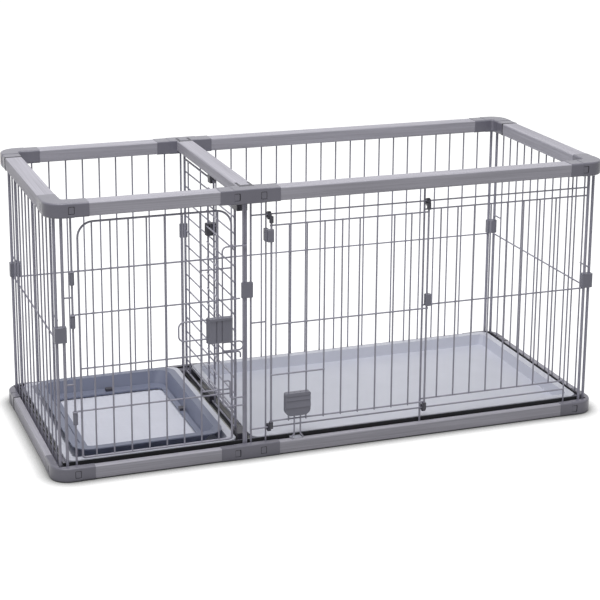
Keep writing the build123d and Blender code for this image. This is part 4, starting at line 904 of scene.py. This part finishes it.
# ------------------------------------------------------------------ floor, light and camera
FLOOR_REACH = 40.0
FLOOR_COLOUR = 0.42
FLOOR_GLOW = 0.92
FLOOR_FLECK = 0.005
CONTACT_REACH = 0.04
CONTACT_POWER = 2.0
SKY = 0.30


def seen_by_eye(tree):
    """1 for rays from the camera, and for those that a gloss or a clear surface passes on."""
    path = node(tree, "ShaderNodeLightPath")
    total = path.outputs["Is Camera Ray"]
    for name in ("Is Glossy Ray", "Is Transmission Ray"):
        either = node(tree, "ShaderNodeMath", operation="MAXIMUM")
        tree.links.new(total, either.inputs[0])
        tree.links.new(path.outputs[name], either.inputs[1])
        total = either.outputs[0]
    return total


def multiply(tree, source, factor):
    """A socket's value times another socket's, or times a number."""
    made = node(tree, "ShaderNodeMath", operation="MULTIPLY")
    tree.links.new(source, made.inputs[0])
    if isinstance(factor, float):
        made.inputs[1].default_value = factor
    else:
        tree.links.new(factor, made.inputs[1])
    return made.outputs[0]


def floor():
    """A pale floor that looks white, with painted shade close under and between the pen's parts from
    an occlusion mask on its colour and glow.
    """
    mesh = bpy.data.meshes.new("floor")
    r = FLOOR_REACH
    mesh.from_pydata([(-r, -r, 0), (r, -r, 0), (r, r, 0), (-r, r, 0)], [], [(0, 1, 2, 3)])
    piece = bpy.data.objects.new("floor", mesh)
    bpy.context.scene.collection.objects.link(piece)
    material, tree, shader = new_material("floor_white")
    shader.inputs["Roughness"].default_value = 0.9
    shader.inputs["Specular IOR Level"].default_value = 0.0
    fleck = noise(tree, (1, 1, 1), 30)
    grey = FLOOR_COLOUR
    colour_out = ramp(tree, fleck, (grey - FLOOR_FLECK,) * 3, (grey + FLOOR_FLECK,) * 3)
    # painted shade: an occlusion mask darkens the floor's colour and its glow close under and between
    # the pen's parts
    contact = node(tree, "ShaderNodeAmbientOcclusion", samples=8)
    contact.inputs["Distance"].default_value = CONTACT_REACH
    painted_shade_mask = node(tree, "ShaderNodeMath", operation="POWER")
    painted_shade_mask.inputs[1].default_value = CONTACT_POWER
    tree.links.new(contact.outputs["AO"], painted_shade_mask.inputs[0])
    shaded = node(tree, "ShaderNodeMix", data_type="RGBA", blend_type="MULTIPLY")
    shaded.inputs["Factor"].default_value = 1.0
    tree.links.new(colour_out, shaded.inputs[6])
    tree.links.new(painted_shade_mask.outputs[0], shaded.inputs[7])
    tree.links.new(shaded.outputs[2], shader.inputs["Base Color"])
    glow = multiply(tree, multiply(tree, seen_by_eye(tree), painted_shade_mask.outputs[0]), FLOOR_GLOW)
    shader.inputs["Emission Color"].default_value = (1, 1, 1, 1)
    tree.links.new(glow, shader.inputs["Emission Strength"])
    mesh.materials.append(material)


def world():
    """Even studio light that looks white behind the pen."""
    made = bpy.data.worlds.new("studio")
    bpy.context.scene.world = made
    made.use_nodes = True
    tree = made.node_tree
    background = next(n for n in tree.nodes if n.type == "BACKGROUND")
    background.inputs["Color"].default_value = (1, 1, 1, 1)
    tree.links.new(remap(tree, seen_by_eye(tree), SKY, 1.0), background.inputs["Strength"])


def lamp(name, place, aim, size, power):
    """A round soft lamp turned towards a point."""
    data = bpy.data.lights.new(name, "AREA")
    data.shape = "DISK"
    data.size = size
    data.energy = power
    made = bpy.data.objects.new(name, data)
    made.location = place
    made.rotation_euler = (Vector(aim) - Vector(place)).to_track_quat("-Z", "Y").to_euler()
    bpy.context.scene.collection.objects.link(made)


def camera():
    """The camera at the pen's studio view."""
    data = bpy.data.cameras.new("camera")
    data.sensor_width = SENSOR
    data.lens = LENS
    data.shift_x = SHIFT_X
    data.shift_y = SHIFT_Y
    made = bpy.data.objects.new("camera", data)
    turn = Matrix.Rotation(-math.radians(CAMERA_YAW), 4, "Z")
    tilt = Matrix.Rotation(math.radians(90 - CAMERA_PITCH), 4, "X")
    roll = Matrix.Rotation(math.radians(CAMERA_ROLL), 4, "Z")
    made.matrix_world = Matrix.Translation(CAMERA_AT) @ turn @ tilt @ roll
    bpy.context.scene.collection.objects.link(made)
    bpy.context.scene.camera = made


floor()
world()
lamp("key", (-0.8, -0.8, 3.6), (0, 0, 0.3), 3.0, 98)
camera()
bpy.context.scene.view_settings.view_transform = "Standard"
